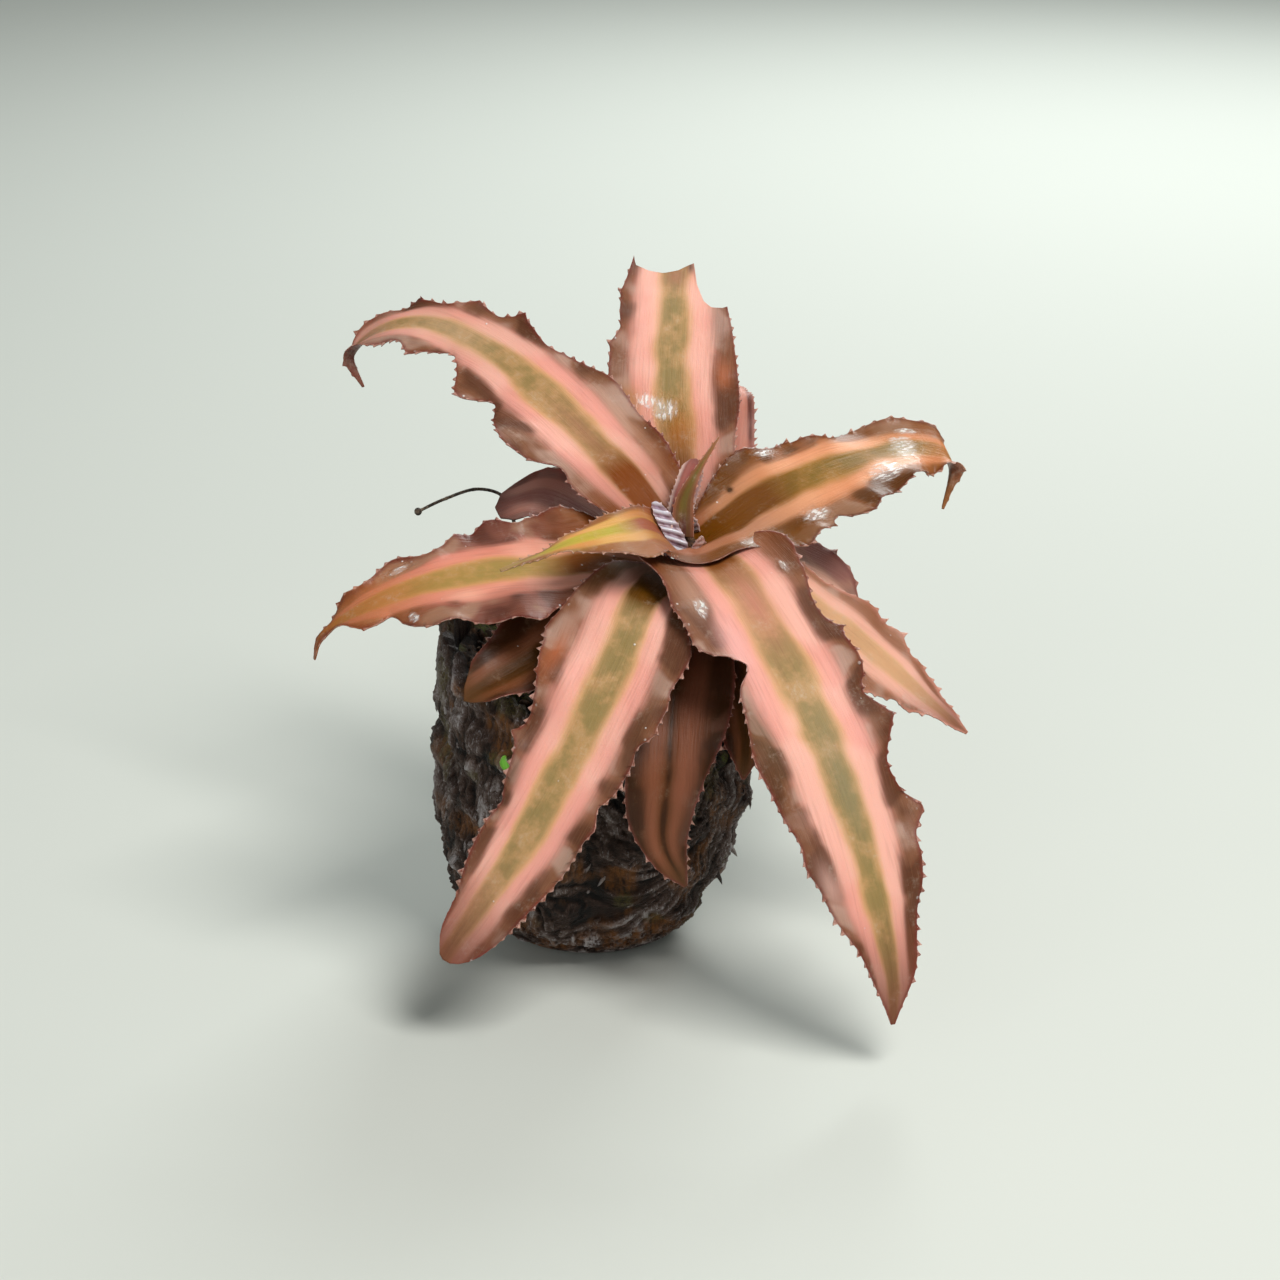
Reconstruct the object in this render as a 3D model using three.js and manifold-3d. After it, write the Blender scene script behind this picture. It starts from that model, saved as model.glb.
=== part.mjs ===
// Earth star plant: a rosette of stiff, toothed, striped leaves in a rough round-bottomed bark pot.
// Millimetres, +Z up. The origin is the middle of the small flat spot that the pot rests on.
// The front of the plant faces -Y.

import * as THREE from 'three';
import { mergeVertices } from 'three/addons/utils/BufferGeometryUtils.js';
import Module from 'manifold-3d';

const wasm = await Module();
wasm.setup();

// Rosette
const CROWN = new THREE.Vector3(22, 1, 99);
const FACING = new THREE.Vector3(0.12, -0.45, 0.885).normalize();
const SEAT_GAP = 0.3;
const STEM_TOP = 1.4;
const STEM_TIP_RADIUS = 2.2;
const STEM_TAPER = 0.1;
const STEM_FOOT = [[-3.5, 14, -30], [-5.5, 16, -39], [-6.5, 16, -48]];

// Leaf blades and the spines on their margins
const RIB_THICKNESS = 0.95;
const MARGIN_THICKNESS = 0.75;
const TOOTH_PITCH = 5.2;
const TOOTH_LENGTH = 1.2;
const TOOTH_HOOK = 0.9;
const BLADE_COLUMNS = [-1, -0.55, 0, 0.55, 1];

// Bark pot
const POT_RADIUS = 37;
const POT_DEPTH_SCALE = 0.9;
const POT_FOOT = 12.5;
const POT_CURVE_HEIGHT = 47;
const POT_CURVE_LEAN = 17;
const POT_SHIFT_RIGHT = 0.8;
const POT_WALL = 4.5;
const POT_FLOOR = 9;
const POT_SIDES = 42;
const RIM_MIDDLE = 63;
const RIM_DROP_RIGHT = 17;
const RIM_RISE_BACK = 3;
const RIM_PEAKS = [[-42, 9, 5], [-17, 7, 3], [150, 10, 3], [215, 12, -4]];
const MIX_BELOW_RIM = 5;
const MIX_HEAP = 9;
const MIX_HEAP_SPREAD = 15;
const MIX_CLEARANCE = 0.35;

// Turns round the curled bottom, and shares of the height of the wall and of the hollow, that get a ring
const BOTTOM_TURNS = [0.12, 0.27, 0.42, 0.57, 0.7];
const WALL_LEVELS = [0.15, 0.36, 0.57, 0.78, 1];
const HOLLOW_LEVELS = [0, 0.08, 0.2, 0.4, 0.6, 0.8, 1];
const MIX_EDGE_LEVELS = HOLLOW_LEVELS.slice(0, -2);
const MIX_TOP_REACHES = [0.97, 0.75, 0.5, 0.25];
const RIM_BEVEL = 0.8;

// Splinters of bark: bearing round the pot, height, how far each stands out and rises
const SPURS = [
  [-12, 27, 4.5, -2],
  [-20, 19, 4, -2.5],
  [-4, 38, 3, 1],
  [178, 46, 3, 2],
  [120, 52, 3.5, 2],
  [70, 30, 3.5, -2],
  [205, 26, 3, -1],
];
const SPUR_ROOT = 3;
const SPUR_RADIUS = 1.9;

const degrees = THREE.MathUtils.degToRad;

/** A repeatable random number from 0 to 1. */
function seeded(seed) {
  let state = seed;
  return () => {
    state = (state * 1664525 + 1013904223) % 4294967296;
    return state / 4294967296;
  };
}

/** Smooth value at fraction u of a run of values given at equal steps (Catmull-Rom). */
function along(values, u) {
  const last = values.length - 1;
  const place = THREE.MathUtils.clamp(u, 0, 1) * last;
  const i = Math.min(Math.floor(place), last - 1);
  const w = place - i;
  const b = values[i];
  const c = values[i + 1];
  const a = i > 0 ? values[i - 1] : 2 * b - c;
  const d = i + 2 <= last ? values[i + 2] : 2 * c - b;
  return b + 0.5 * w * (c - a + w * (2 * a - 5 * b + 4 * c - d + w * (3 * (b - c) + d - a)));
}

const smooth = (from, to, x) => THREE.MathUtils.smoothstep(x, from, to);

function stemRadius(down) {
  return STEM_TIP_RADIUS + STEM_TAPER * down;
}

function onAxis(down) {
  return CROWN.clone().addScaledVector(FACING, -down);
}

/** Where a leaf leaves the stem: `down` below the crown, on the side that its rib heads for. */
function seatOnStem(down, firstPoint) {
  const core = onAxis(down);
  const outward = firstPoint.clone().sub(core);
  outward.addScaledVector(FACING, -outward.dot(FACING)).normalize();
  return core.addScaledVector(outward, stemRadius(down) + SEAT_GAP);
}

/** The rib of a leaf as a curve, and the way its blade lies across it. */
function ribOf(leaf) {
  const points = leaf.rib.map(([x, y, z]) => new THREE.Vector3(x, y, z).add(CROWN));
  points.unshift(leaf.down === null ? points.shift() : seatOnStem(leaf.down, points[0]));
  const curve = new THREE.CatmullRomCurve3(points, false, 'centripetal');
  curve.arcLengthDivisions = 400;
  const course = points[points.length - 1].clone().sub(points[0]);
  const across = new THREE.Vector3().crossVectors(course, leaf.upward ?? FACING).normalize();
  return { curve, length: curve.getLength(), across };
}

/** Point of a blade's upper face at fraction u of its length and s from -1 (left) to 1 (right). */
function bladePoint(leaf, rib, u, s, tooth) {
  const tangent = rib.curve.getTangentAt(u);
  const across = rib.across.clone().addScaledVector(tangent, -rib.across.dot(tangent)).normalize();
  const up = new THREE.Vector3().crossVectors(across, tangent);
  const roll = degrees(along(leaf.roll ?? [0, 0], u));
  const side = across.clone().multiplyScalar(Math.cos(roll)).addScaledVector(up, Math.sin(roll));
  const normal = up.multiplyScalar(Math.cos(roll)).addScaledVector(across, -Math.sin(roll));

  const halfWidth = along(s > 0 ? leaf.right : leaf.left, u);
  const x = s * (halfWidth + tooth * (Math.abs(s) === 1 ? 1 : 0));
  const stem = stemRadius(leaf.down ?? 0) + u * rib.length;
  const rise = THREE.MathUtils.clamp(tangent.dot(FACING), 0, 1);
  const wrap = (rise * x * x) / (2 * stem + Math.abs(x));
  const channel = (along(leaf.channel ?? [0, 0], u) * x * x) / 100;
  const fold = Math.tan(degrees(along(leaf.fold ?? [0, 0], u))) * Math.abs(x);
  const [height, waveLength, phase] = leaf.wave ?? [0, 20, 0];
  const turn = (2 * Math.PI * u * rib.length) / waveLength + phase + (s > 0 ? 1.4 : 0);
  const calm = smooth(0.12, 0.4, u) * (1 - smooth(0.85, 1, u));
  const wave = height * Math.abs(s) ** 3 * Math.sin(turn) * calm;
  const point = rib.curve.getPointAt(u).addScaledVector(side, x);
  point.addScaledVector(normal, wrap + channel + fold + wave);
  if (tooth > 0 && Math.abs(s) === 1) {
    point.addScaledVector(tangent, (TOOTH_HOOK * tooth) / TOOTH_LENGTH);
  }
  return { point, normal };
}

/** A closed leaf blade: an upper face, a lower face split alike, and a thin edge all round. */
function bladeGeometry(leaf) {
  const rib = ribOf(leaf);
  const columns = leaf.columns ?? BLADE_COLUMNS;
  const ends = leaf.ends ?? columns.map(() => 1);
  const teeth = Math.round(rib.length / (leaf.pitch ?? TOOTH_PITCH));
  const stations = 2 * teeth;
  const random = seeded(Math.round(rib.length * 100));
  const upper = [];
  const lower = [];
  for (let i = 0; i <= stations; i += 1) {
    const grown = smooth(0.02, 0.2, i / stations) * (1 - smooth(0.9, 1, i / stations));
    const reach = i % 2 === 1 ? TOOTH_LENGTH * (0.6 + 0.6 * random()) * grown : 0;
    columns.forEach((s, j) => {
      const u = (i / stations) * ends[j];
      const { point, normal } = bladePoint(leaf, rib, u, s, reach);
      const thickness = THREE.MathUtils.lerp(RIB_THICKNESS, MARGIN_THICKNESS, s * s);
      upper.push(point);
      lower.push(point.clone().addScaledVector(normal, -thickness));
    });
  }
  const across = columns.length;
  const below = upper.length;
  const indices = [];
  const quad = (a, b, c, d) => indices.push(a, b, c, a, c, d);
  const turnedQuad = (a, b, c, d) => indices.push(a, b, d, b, c, d);
  for (let i = 0; i < stations; i += 1) {
    for (let j = 0; j < across - 1; j += 1) {
      const a = i * across + j;
      const [b, c, d] = [a + 1, a + across + 1, a + across];
      const onRight = columns[j] >= 0;
      (onRight ? quad : turnedQuad)(a, b, c, d);
      const [e, f, g, h] = [a, b, c, d].map((k) => k + below);
      (onRight ? turnedQuad : quad)(f, e, h, g);
    }
    const left = i * across;
    const right = left + across - 1;
    quad(right, right + below, right + across + below, right + across);
    quad(left + below, left, left + across, left + across + below);
  }
  const tip = stations * across;
  for (let j = 0; j < across - 1; j += 1) {
    quad(j, j + below, j + 1 + below, j + 1);
    quad(tip + j + below, tip + j, tip + j + 1, tip + j + 1 + below);
  }
  const geometry = new THREE.BufferGeometry();
  geometry.setFromPoints([...upper, ...lower]);
  geometry.setIndex(indices);
  return geometry;
}

/** three.js geometry as a solid, ready to be joined or cut. */
function solid(geometry) {
  const bare = geometry.clone();
  bare.deleteAttribute('normal');
  bare.deleteAttribute('uv');
  const merged = mergeVertices(bare, 1e-4);
  return new wasm.Manifold(new wasm.Mesh({
    numProp: 3,
    vertProperties: new Float32Array(merged.attributes.position.array),
    triVerts: new Uint32Array(merged.index.array),
  }));
}

function geometryOf(body) {
  const mesh = body.getMesh();
  const geometry = new THREE.BufferGeometry();
  geometry.setAttribute('position', new THREE.BufferAttribute(mesh.vertProperties, 3));
  geometry.setIndex(new THREE.BufferAttribute(mesh.triVerts, 1));
  return geometry;
}

/** A closed skin from rings of points, each ring the same length, closed by a point at either end. */
function ringsGeometry(firstPoint, rings, lastPoint) {
  const sides = rings[0].length;
  const points = [firstPoint, ...rings.flat(), lastPoint];
  const indices = [];
  for (let k = 0; k < sides; k += 1) {
    const next = (k + 1) % sides;
    indices.push(0, 1 + next, 1 + k);
    for (let r = 0; r < rings.length - 1; r += 1) {
      const a = 1 + r * sides + k;
      const b = 1 + r * sides + next;
      indices.push(a, b, b + sides, a, b + sides, a + sides);
    }
    const top = 1 + (rings.length - 1) * sides;
    indices.push(top + k, top + next, points.length - 1);
  }
  const geometry = new THREE.BufferGeometry();
  geometry.setFromPoints(points);
  geometry.setIndex(indices);
  return geometry;
}

/** Height of the pot's torn rim: high on the left and at the back, low on the right and in front. */
function rimHeight(angle) {
  const waves = 1.3 * Math.sin(5 * angle + 0.6) + 1.1 * Math.sin(11 * angle);
  const ragged = waves + 0.8 * Math.sin(19 * angle + 2);
  const peaks = RIM_PEAKS.reduce((sum, [bearing, spread, height]) => {
    const turn = (1 - Math.cos(angle - degrees(bearing))) / (1 - Math.cos(degrees(spread)));
    return sum + height * Math.exp(-turn);
  }, 0);
  return RIM_MIDDLE - RIM_DROP_RIGHT * Math.cos(angle) + RIM_RISE_BACK * Math.sin(angle) + ragged + peaks;
}

/** Height at which the round bottom has become a wall: it slants further up on the right. */
function curveHeight(angle) {
  return POT_CURVE_HEIGHT + POT_CURVE_LEAN * Math.cos(angle);
}

/** Radius of the pot's smooth form: a small foot, a round bottom and a nearly upright wall. */
function potRadius(angle, z) {
  const curl = 1 - Math.min(z / curveHeight(angle), 1);
  const widest = POT_RADIUS + POT_SHIFT_RIGHT * Math.cos(angle);
  return POT_FOOT + (widest - POT_FOOT) * Math.sqrt(1 - curl * curl);
}

/** Relief of the bark: long uneven ribs and shallow scales, none at the foot. */
function barkRelief(angle, z) {
  const ribs = 0.9 * Math.sin(6 * angle + 0.05 * z) + 0.7 * Math.sin(13 * angle - 0.08 * z + 2);
  const scales = 0.6 * Math.sin(0.42 * z + 3 * Math.sin(2 * angle)) + 0.5 * Math.sin(9 * angle + 0.6 * z);
  return (ribs + scales) * smooth(2, 16, z);
}

function ring(radiusAt, heightAt) {
  return Array.from({ length: POT_SIDES }, (_, k) => {
    const angle = (2 * Math.PI * k) / POT_SIDES;
    const z = heightAt(angle);
    const radius = radiusAt(angle, z);
    return new THREE.Vector3(radius * Math.cos(angle), POT_DEPTH_SCALE * radius * Math.sin(angle), z);
  });
}

/** Rings of the pot's hollow from its floor up, drawn in by a clearance. */
function hollowRings(clearance, levels) {
  return levels.map((level) => ring(
    (angle, z) => potRadius(angle, z) - POT_WALL - clearance,
    (angle) => THREE.MathUtils.lerp(POT_FLOOR + clearance, rimHeight(angle), level),
  ));
}

function potGeometry() {
  const foot = ring(() => POT_FOOT, () => 0);
  const outside = (angle, z) => potRadius(angle, z) + barkRelief(angle, z);
  const bottom = BOTTOM_TURNS.map((turn) => ring(
    outside,
    (angle) => curveHeight(angle) * (1 - Math.cos(turn * Math.PI / 2)),
  ));
  const wall = WALL_LEVELS.map((level) => ring(
    (angle, z) => outside(angle, z) - (level === 1 ? RIM_BEVEL : 0),
    (angle) => THREE.MathUtils.lerp(curveHeight(angle) * 0.5, rimHeight(angle), level),
  ));
  const hollow = hollowRings(0, HOLLOW_LEVELS).reverse();
  const middle = (z) => new THREE.Vector3(0, 0, z);
  const cup = ringsGeometry(middle(0), [foot, ...bottom, ...wall, ...hollow], middle(POT_FLOOR));
  let pot = solid(cup);
  for (const [angle, z, reach, rise] of SPURS) {
    pot = pot.add(solid(spurGeometry(degrees(angle), z, reach, rise)));
  }
  return geometryOf(pot);
}

/** A small four-sided splinter whose root is sunk in the wall. */
function spurGeometry(angle, z, reach, rise) {
  const cone = new THREE.ConeGeometry(SPUR_RADIUS, reach + SPUR_ROOT, 4, 1);
  const from = new THREE.Vector3(Math.cos(angle), POT_DEPTH_SCALE * Math.sin(angle), 0);
  const wall = potRadius(angle, z);
  const start = from.clone().multiplyScalar(wall - SPUR_ROOT).setZ(z);
  const end = from.clone().multiplyScalar(wall + reach).setZ(z + rise);
  const way = end.clone().sub(start).normalize();
  cone.applyQuaternion(new THREE.Quaternion().setFromUnitVectors(new THREE.Vector3(0, 1, 0), way));
  cone.translate(...start.add(end).multiplyScalar(0.5).toArray());
  return cone;
}

/** Surface of the growing mix: sloped like the rim and heaped round the stem. */
function mixHeight(x, y) {
  const foot = STEM_PATH[1];
  const heap = MIX_HEAP * Math.exp(-((x - foot.x) ** 2 + (y - foot.y) ** 2) / MIX_HEAP_SPREAD ** 2);
  const slope = (-RIM_DROP_RIGHT * x + (RIM_RISE_BACK * y) / POT_DEPTH_SCALE) / POT_RADIUS;
  const lumps = 0.6 * Math.sin(0.55 * x + 0.3 * y) + 0.5 * Math.sin(0.4 * y - 0.5 * x + 1);
  return RIM_MIDDLE - MIX_BELOW_RIM + slope + heap + lumps;
}

function mixGeometry() {
  const sides = hollowRings(MIX_CLEARANCE, MIX_EDGE_LEVELS);
  const brim = sides[sides.length - 1];
  const top = MIX_TOP_REACHES.map((reach) => brim.map((edge) => {
    const [x, y] = [edge.x * reach, edge.y * reach];
    return new THREE.Vector3(x, y, mixHeight(x, y));
  }));
  const first = new THREE.Vector3(0, 0, POT_FLOOR + MIX_CLEARANCE);
  const body = solid(ringsGeometry(first, [...sides, ...top], new THREE.Vector3(0, 0, mixHeight(0, 0))));
  const holes = [
    tubeGeometry(STEM_PATH, (u) => stemGirth(u) + SEAT_GAP, 16, 10, SEAT_GAP),
    tubeGeometry(STALK_PATH, () => STALK_RADIUS + SEAT_GAP, 6, 24, SEAT_GAP),
  ];
  return geometryOf(holes.reduce((rest, hole) => rest.subtract(solid(hole)), body));
}

/** A round tube along a smooth path, its radius given at each fraction of its length. */
function tubeGeometry(path, radiusAt, sides, steps, longer = 0) {
  const curve = new THREE.CatmullRomCurve3(path, false, 'centripetal');
  const { tangents, normals, binormals } = curve.computeFrenetFrames(steps, false);
  const rings = tangents.map((tangent, i) => {
    const centre = curve.getPointAt(i / steps);
    centre.addScaledVector(tangent, i === 0 ? -longer : 0);
    return Array.from({ length: sides }, (_, k) => {
      const angle = (2 * Math.PI * k) / sides;
      const radius = radiusAt(i / steps);
      return centre.clone()
        .addScaledVector(normals[i], radius * Math.cos(angle))
        .addScaledVector(binormals[i], radius * Math.sin(angle));
    });
  });
  const middle = (points) => points.reduce((sum, p) => sum.add(p), new THREE.Vector3()).divideScalar(sides);
  return ringsGeometry(middle(rings[0]), rings, middle(rings[steps]));
}

function stemGeometry() {
  return tubeGeometry(STEM_PATH, stemGirth, 14, 10);
}

// The stem: straight behind the crown where the leaves leave it, then curving down into the mix
const STEM_STRAIGHT = 24;
const STEM_PATH = [
  ...STEM_FOOT.map((place) => new THREE.Vector3(...place).add(CROWN)).reverse(),
  onAxis(STEM_STRAIGHT),
  onAxis(STEM_STRAIGHT / 2),
  onAxis(STEM_TOP),
];
const STEM_LENGTH = new THREE.CatmullRomCurve3(STEM_PATH, false, 'centripetal').getLength();

function stemGirth(u) {
  return stemRadius(STEM_LENGTH * (1 - u)) - 0.05;
}

// The wiry stalk: up from the mix behind the leaves, then out to the left, with a bead at its end
const STALK_RADIUS = 0.45;
const BEAD_RADIUS = 0.95;
const STALK_PATH = [
  [-14, 18, 56], [-16, 22, 76], [-19, 31, 90], [-22, 35, 97], [-28, 35, 99], [-36, 32, 97.5], [-43, 29, 95],
].map((place) => new THREE.Vector3(...place));

function stalkGeometry() {
  const stalk = tubeGeometry(STALK_PATH, () => STALK_RADIUS, 6, 24);
  const bead = new THREE.SphereGeometry(BEAD_RADIUS, 8, 6);
  bead.translate(...STALK_PATH[STALK_PATH.length - 1].toArray());
  return geometryOf(solid(stalk).add(solid(bead)));
}

// Each leaf: `down` is how far below the crown it leaves the stem; `rib` runs from there to the tip, in
// steps from the crown; `right` and `left` are half widths at equal steps, base to tip, as seen looking
// down on the upper face with the tip ahead; `channel` and `fold` raise the margins, `roll` turns the
// blade about its rib in degrees, and `wave` is the height, length and start of the frill.
const LEAVES = [
  {
    name: 'leaf_upper_left',
    tint: 'leaf',
    down: 5,
    rib: [[-11, 10, 8], [-23, 22, 17], [-35, 34, 25], [-49, 47, 32], [-64, 56, 35], [-76, 61, 31],
      [-82, 61, 25], [-79, 58, 18]],
    right: [5, 12, 14.5, 14, 10.5, 11.5, 7, 2.5, 0.4],
    left: [5, 13, 15, 16, 14, 12.5, 9.5, 4, 0.4],
    channel: [0, 0.5, 0.5, 0.3],
    wave: [1.6, 22, 0.5],
  },
  {
    name: 'leaf_back_bitten',
    tint: 'leaf',
    down: 8,
    rib: [[-1, 15, -2], [-3, 25, 9], [-4, 38, 23], [-3, 49, 36], [-2, 60, 49]],
    right: [5, 11, 14, 14.5, 14.5, 13.5, 12.5, 12, 11.5],
    left: [4, 5, 6, 7, 13, 15.5, 13.5, 10.5, 8.5],
    channel: [0, 0, 0.4],
    roll: [0, 8, 8, 0],
    wave: [1, 20, 1],
    columns: [-1, -0.75, -0.35, 0, 0.3, 0.5, 0.8, 1],
    ends: [1, 0.93, 0.925, 0.94, 0.975, 0.88, 0.81, 0.82],
  },
  {
    name: 'leaf_right',
    tint: 'leaf',
    down: 4,
    rib: [[9, 6, 2], [24, 18, 7], [41, 29, 10], [56, 34, 10], [64, 35, 5], [62, 31, -3]],
    right: [5, 11.5, 16, 18, 17.5, 15, 9, 3, 0.4],
    left: [5, 10, 13.5, 11.5, 10, 9, 7, 3, 0.4],
    channel: [0, 0.8, 0.8, 0.5],
    wave: [1.6, 19, 0],
  },
  {
    name: 'leaf_lower_right',
    tint: 'leaf',
    down: 7.5,
    rib: [[12, -17, -7], [24, -37, -21], [34, -52, -40], [40, -62, -58], [44, -68, -79], [44, -69, -88]],
    right: [8, 13, 17, 13.5, 17.5, 16, 12.5, 7, 0.5],
    left: [7, 15, 13, 15, 15, 12, 11, 6.5, 0.5],
    channel: [0, 0.4, 0.4, 0.3],
    wave: [1.6, 24, 2],
  },
  {
    name: 'leaf_lower_left',
    tint: 'leaf',
    down: 10,
    rib: [[-10, -19, -8], [-17, -32, -20], [-26, -43, -35], [-36, -51, -51], [-47, -55, -67],
      [-54, -57, -78]],
    right: [5, 11, 16, 17, 13, 11, 10, 7.5, 1.5],
    left: [5, 9, 12.5, 14.5, 13, 12, 10.5, 8.5, 1.5],
    channel: [0, 0.4, 0.4, 0.3],
    wave: [1.4, 23, 0],
  },
  {
    name: 'leaf_left',
    tint: 'leaf',
    down: 12,
    rib: [[-21, -7, -4], [-31, -11, -3], [-43, -15, -2], [-57, -19, -3], [-70, -21, -7], [-80, -21, -14],
      [-86, -20, -22]],
    right: [5, 11, 15, 13, 10, 6.5, 5, 3.5, 0.4],
    left: [4, 6, 7.5, 12.5, 15, 11.5, 7, 2, 0.4],
    channel: [0, 0.4, 0.4],
    wave: [1.6, 20, 1.5],
  },
  {
    name: 'young_leaf',
    tint: 'young',
    down: 3,
    rib: [[-9, -6, 5], [-16, -14, 7], [-26, -21, 7], [-34, -25, 5], [-42, -29, 3]],
    right: [4, 6.5, 5.5, 5.2, 4.2, 2.5, 1.2, 0.6, 0.4],
    left: [6.5, 7.5, 8, 8.5, 6.5, 4.2, 1.5, 0.7, 0.4],
    channel: [0.8, 0.8, 0.5],
    wave: [0.4, 12, 0],
    pitch: 3.8,
  },
  {
    name: 'leaf_front_low',
    tint: 'shaded',
    down: 21,
    rib: [[-2, -16, -21.5], [-4, -27, -31], [-5, -37, -43], [-6, -40, -58], [-1, -40, -69]],
    right: [3.5, 7, 10, 12, 11, 10.5, 9, 5.5, 0.4],
    left: [3.5, 8, 11, 13, 12.5, 10.5, 7.5, 5, 0.4],
    fold: [0, 10, 12, 10],
    wave: [0.9, 18, 0],
  },
  {
    name: 'leaf_left_low',
    tint: 'shaded',
    down: 17,
    rib: [[-18, -10, -14], [-29, -19, -18], [-40, -27, -22], [-48, -31, -26], [-52, -33, -30]],
    right: [3.5, 7, 10, 10, 9.5, 9, 8.5, 6.5, 0.5],
    left: [3.5, 5.5, 7.5, 9.5, 9.5, 9, 7.5, 4, 0.5],
    fold: [0, 10, 10],
    wave: [0.8, 17, 0],
  },
  {
    name: 'leaf_right_low',
    tint: 'shaded',
    down: 14,
    rib: [[20, 0, -11], [33, -1, -19], [46, -4, -29], [56, -9, -37], [64, -13, -43]],
    right: [4, 8, 11, 12, 13, 12, 10, 4.5, 0.4],
    left: [4, 7, 8, 8, 8.5, 7, 5.5, 3, 0.4],
    channel: [0, 0.4, 0.4],
    wave: [1.2, 17, 0],
  },
  {
    name: 'leaf_right_under',
    tint: 'dark',
    down: 17,
    rib: [[16, 7, -12], [28, 13, -16], [37, 14, -23], [43, 11, -32]],
    right: [4, 7, 9, 10, 10, 8, 6, 3, 0.4],
    left: [3.5, 5, 7, 8, 9, 8.5, 7, 4, 0.4],
    channel: [0, 0.4, 0.4],
    wave: [0.8, 17, 0],
  },
  {
    name: 'leaf_left_dark',
    tint: 'dark',
    down: 14.5,
    rib: [[-14, 10, -6], [-25, 17, 0], [-35, 21, 3], [-44, 21, 1]],
    right: [4, 7, 8, 8, 8, 8, 8.5, 7, 3],
    left: [4, 7, 8, 8, 8, 7, 7, 7, 3],
    channel: [0, 0.4, 0.4],
    wave: [0.8, 17, 0],
  },
  {
    name: 'leaf_back_sliver',
    tint: 'dark',
    down: 19,
    rib: [[5, 13, -12], [9, 24, -3], [11, 36, 10], [12, 47, 19], [12, 57, 19], [12, 65, 12]],
    right: [3, 4.5, 5, 5, 5, 4.5, 3.5, 2, 0.4],
    left: [3, 4.5, 5, 5, 5, 4.5, 3.5, 2, 0.4],
    channel: [0, 0.4, 0.4],
    wave: [0.8, 17, 0],
  },
  {
    name: 'leaf_front_strip',
    tint: 'shaded',
    down: 22.5,
    rib: [[9, -14, -25], [12, -22, -32], [13, -27, -41], [12, -30, -50], [11, -31, -58]],
    right: [3.5, 5, 5.5, 6, 6.5, 6.5, 6, 4, 0.4],
    left: [4, 6, 7, 7.5, 7.5, 7, 6, 4, 0.4],
    channel: [0, 0.4, 0.4],
    wave: [0.8, 17, 0],
  },
  {
    name: 'leaf_rear_left',
    tint: 'shaded',
    down: 20.5,
    rib: [[-10, 14, -13], [-20, 28, -16], [-26, 40, -24], [-29, 50, -36], [-30, 56, -48]],
    right: [4, 8, 11, 12, 12, 11, 9, 5, 0.4],
    left: [4, 8, 11, 12, 12, 11, 9, 5, 0.4],
    channel: [0, 0.4, 0.4],
    wave: [1.2, 19, 0],
  },
  {
    name: 'leaf_rear_middle',
    tint: 'shaded',
    down: 25,
    rib: [[-2, 16, -18], [-3, 31, -22], [-3, 44, -32], [-2, 53, -46], [-2, 58, -58]],
    right: [4, 8, 11, 12, 12, 11, 9, 5, 0.4],
    left: [4, 8, 11, 12, 12, 11, 9, 5, 0.4],
    channel: [0, 0.4, 0.4],
    wave: [1.2, 19, 2],
  },
  {
    name: 'leaf_rear_right',
    tint: 'shaded',
    down: 21.5,
    rib: [[9, 13, -17], [18, 26, -20], [24, 38, -26], [27, 47, -38], [28, 52, -50]],
    right: [4, 8, 11, 12, 12, 11, 9, 5, 0.4],
    left: [4, 8, 11, 12, 12, 11, 9, 5, 0.4],
    channel: [0, 0.4, 0.4],
    wave: [1.2, 19, 1],
  },
  {
    name: 'spear_leaf',
    tint: 'young',
    down: null,
    upward: new THREE.Vector3(0.2, -1, 0.3).normalize(),
    rib: [[-1, -0.3, -0.8], [2, 1, 7], [5, 4, 15], [8, 8, 24]],
    right: [2.6, 3, 2.9, 2.4, 1.9, 1.4, 1, 0.6, 0.35],
    left: [2.6, 3, 2.9, 2.4, 1.9, 1.4, 1, 0.6, 0.35],
    fold: [25, 30, 20],
    pitch: 3,
  },
  {
    name: 'heart_leaf',
    tint: 'young',
    down: 1,
    rib: [[1, 4, 4], [1.5, 8, 11], [3, 12, 17], [5, 16, 21]],
    right: [2.5, 4, 4.5, 4.5, 4, 3.2, 2.2, 1.2, 0.4],
    left: [2.5, 4, 4.5, 4.5, 4, 3.2, 2.2, 1.2, 0.4],
    channel: [2, 2, 1],
    pitch: 3.4,
  },
  {
    name: 'green_sprout',
    tint: 'sprout',
    down: null,
    upward: new THREE.Vector3(-0.4, -1, 0.3).normalize(),
    rib: [[-41, -31.4, -45], [-41.3, -32.6, -43], [-41.5, -33.9, -41]],
    right: [0.5, 1.1, 1.2, 0.9, 0.4],
    left: [0.5, 1.1, 1.2, 0.9, 0.4],
    pitch: 1.6,
  },
];

// Surface colours
const FINISHES = {
  leaf: { color: 0xd08a66, roughness: 0.35 },
  young: { color: 0xb9a04c, roughness: 0.35 },
  shaded: { color: 0x8a4f38, roughness: 0.4 },
  dark: { color: 0x6b3f38, roughness: 0.45 },
  stem: { color: 0x6d4a36, roughness: 0.7 },
  bark: { color: 0x3a2a22, roughness: 0.9 },
  mix: { color: 0x2b2019, roughness: 1 },
  stalk: { color: 0x4a3d30, roughness: 0.6 },
  sprout: { color: 0x79c63c, roughness: 0.4 },
};

const plant = new THREE.Group();

function addPiece(name, geometry, tint) {
  const finish = new THREE.MeshStandardMaterial({ ...FINISHES[tint], metalness: 0 });
  const mesh = new THREE.Mesh(geometry, finish);
  mesh.name = name;
  plant.add(mesh);
}

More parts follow.
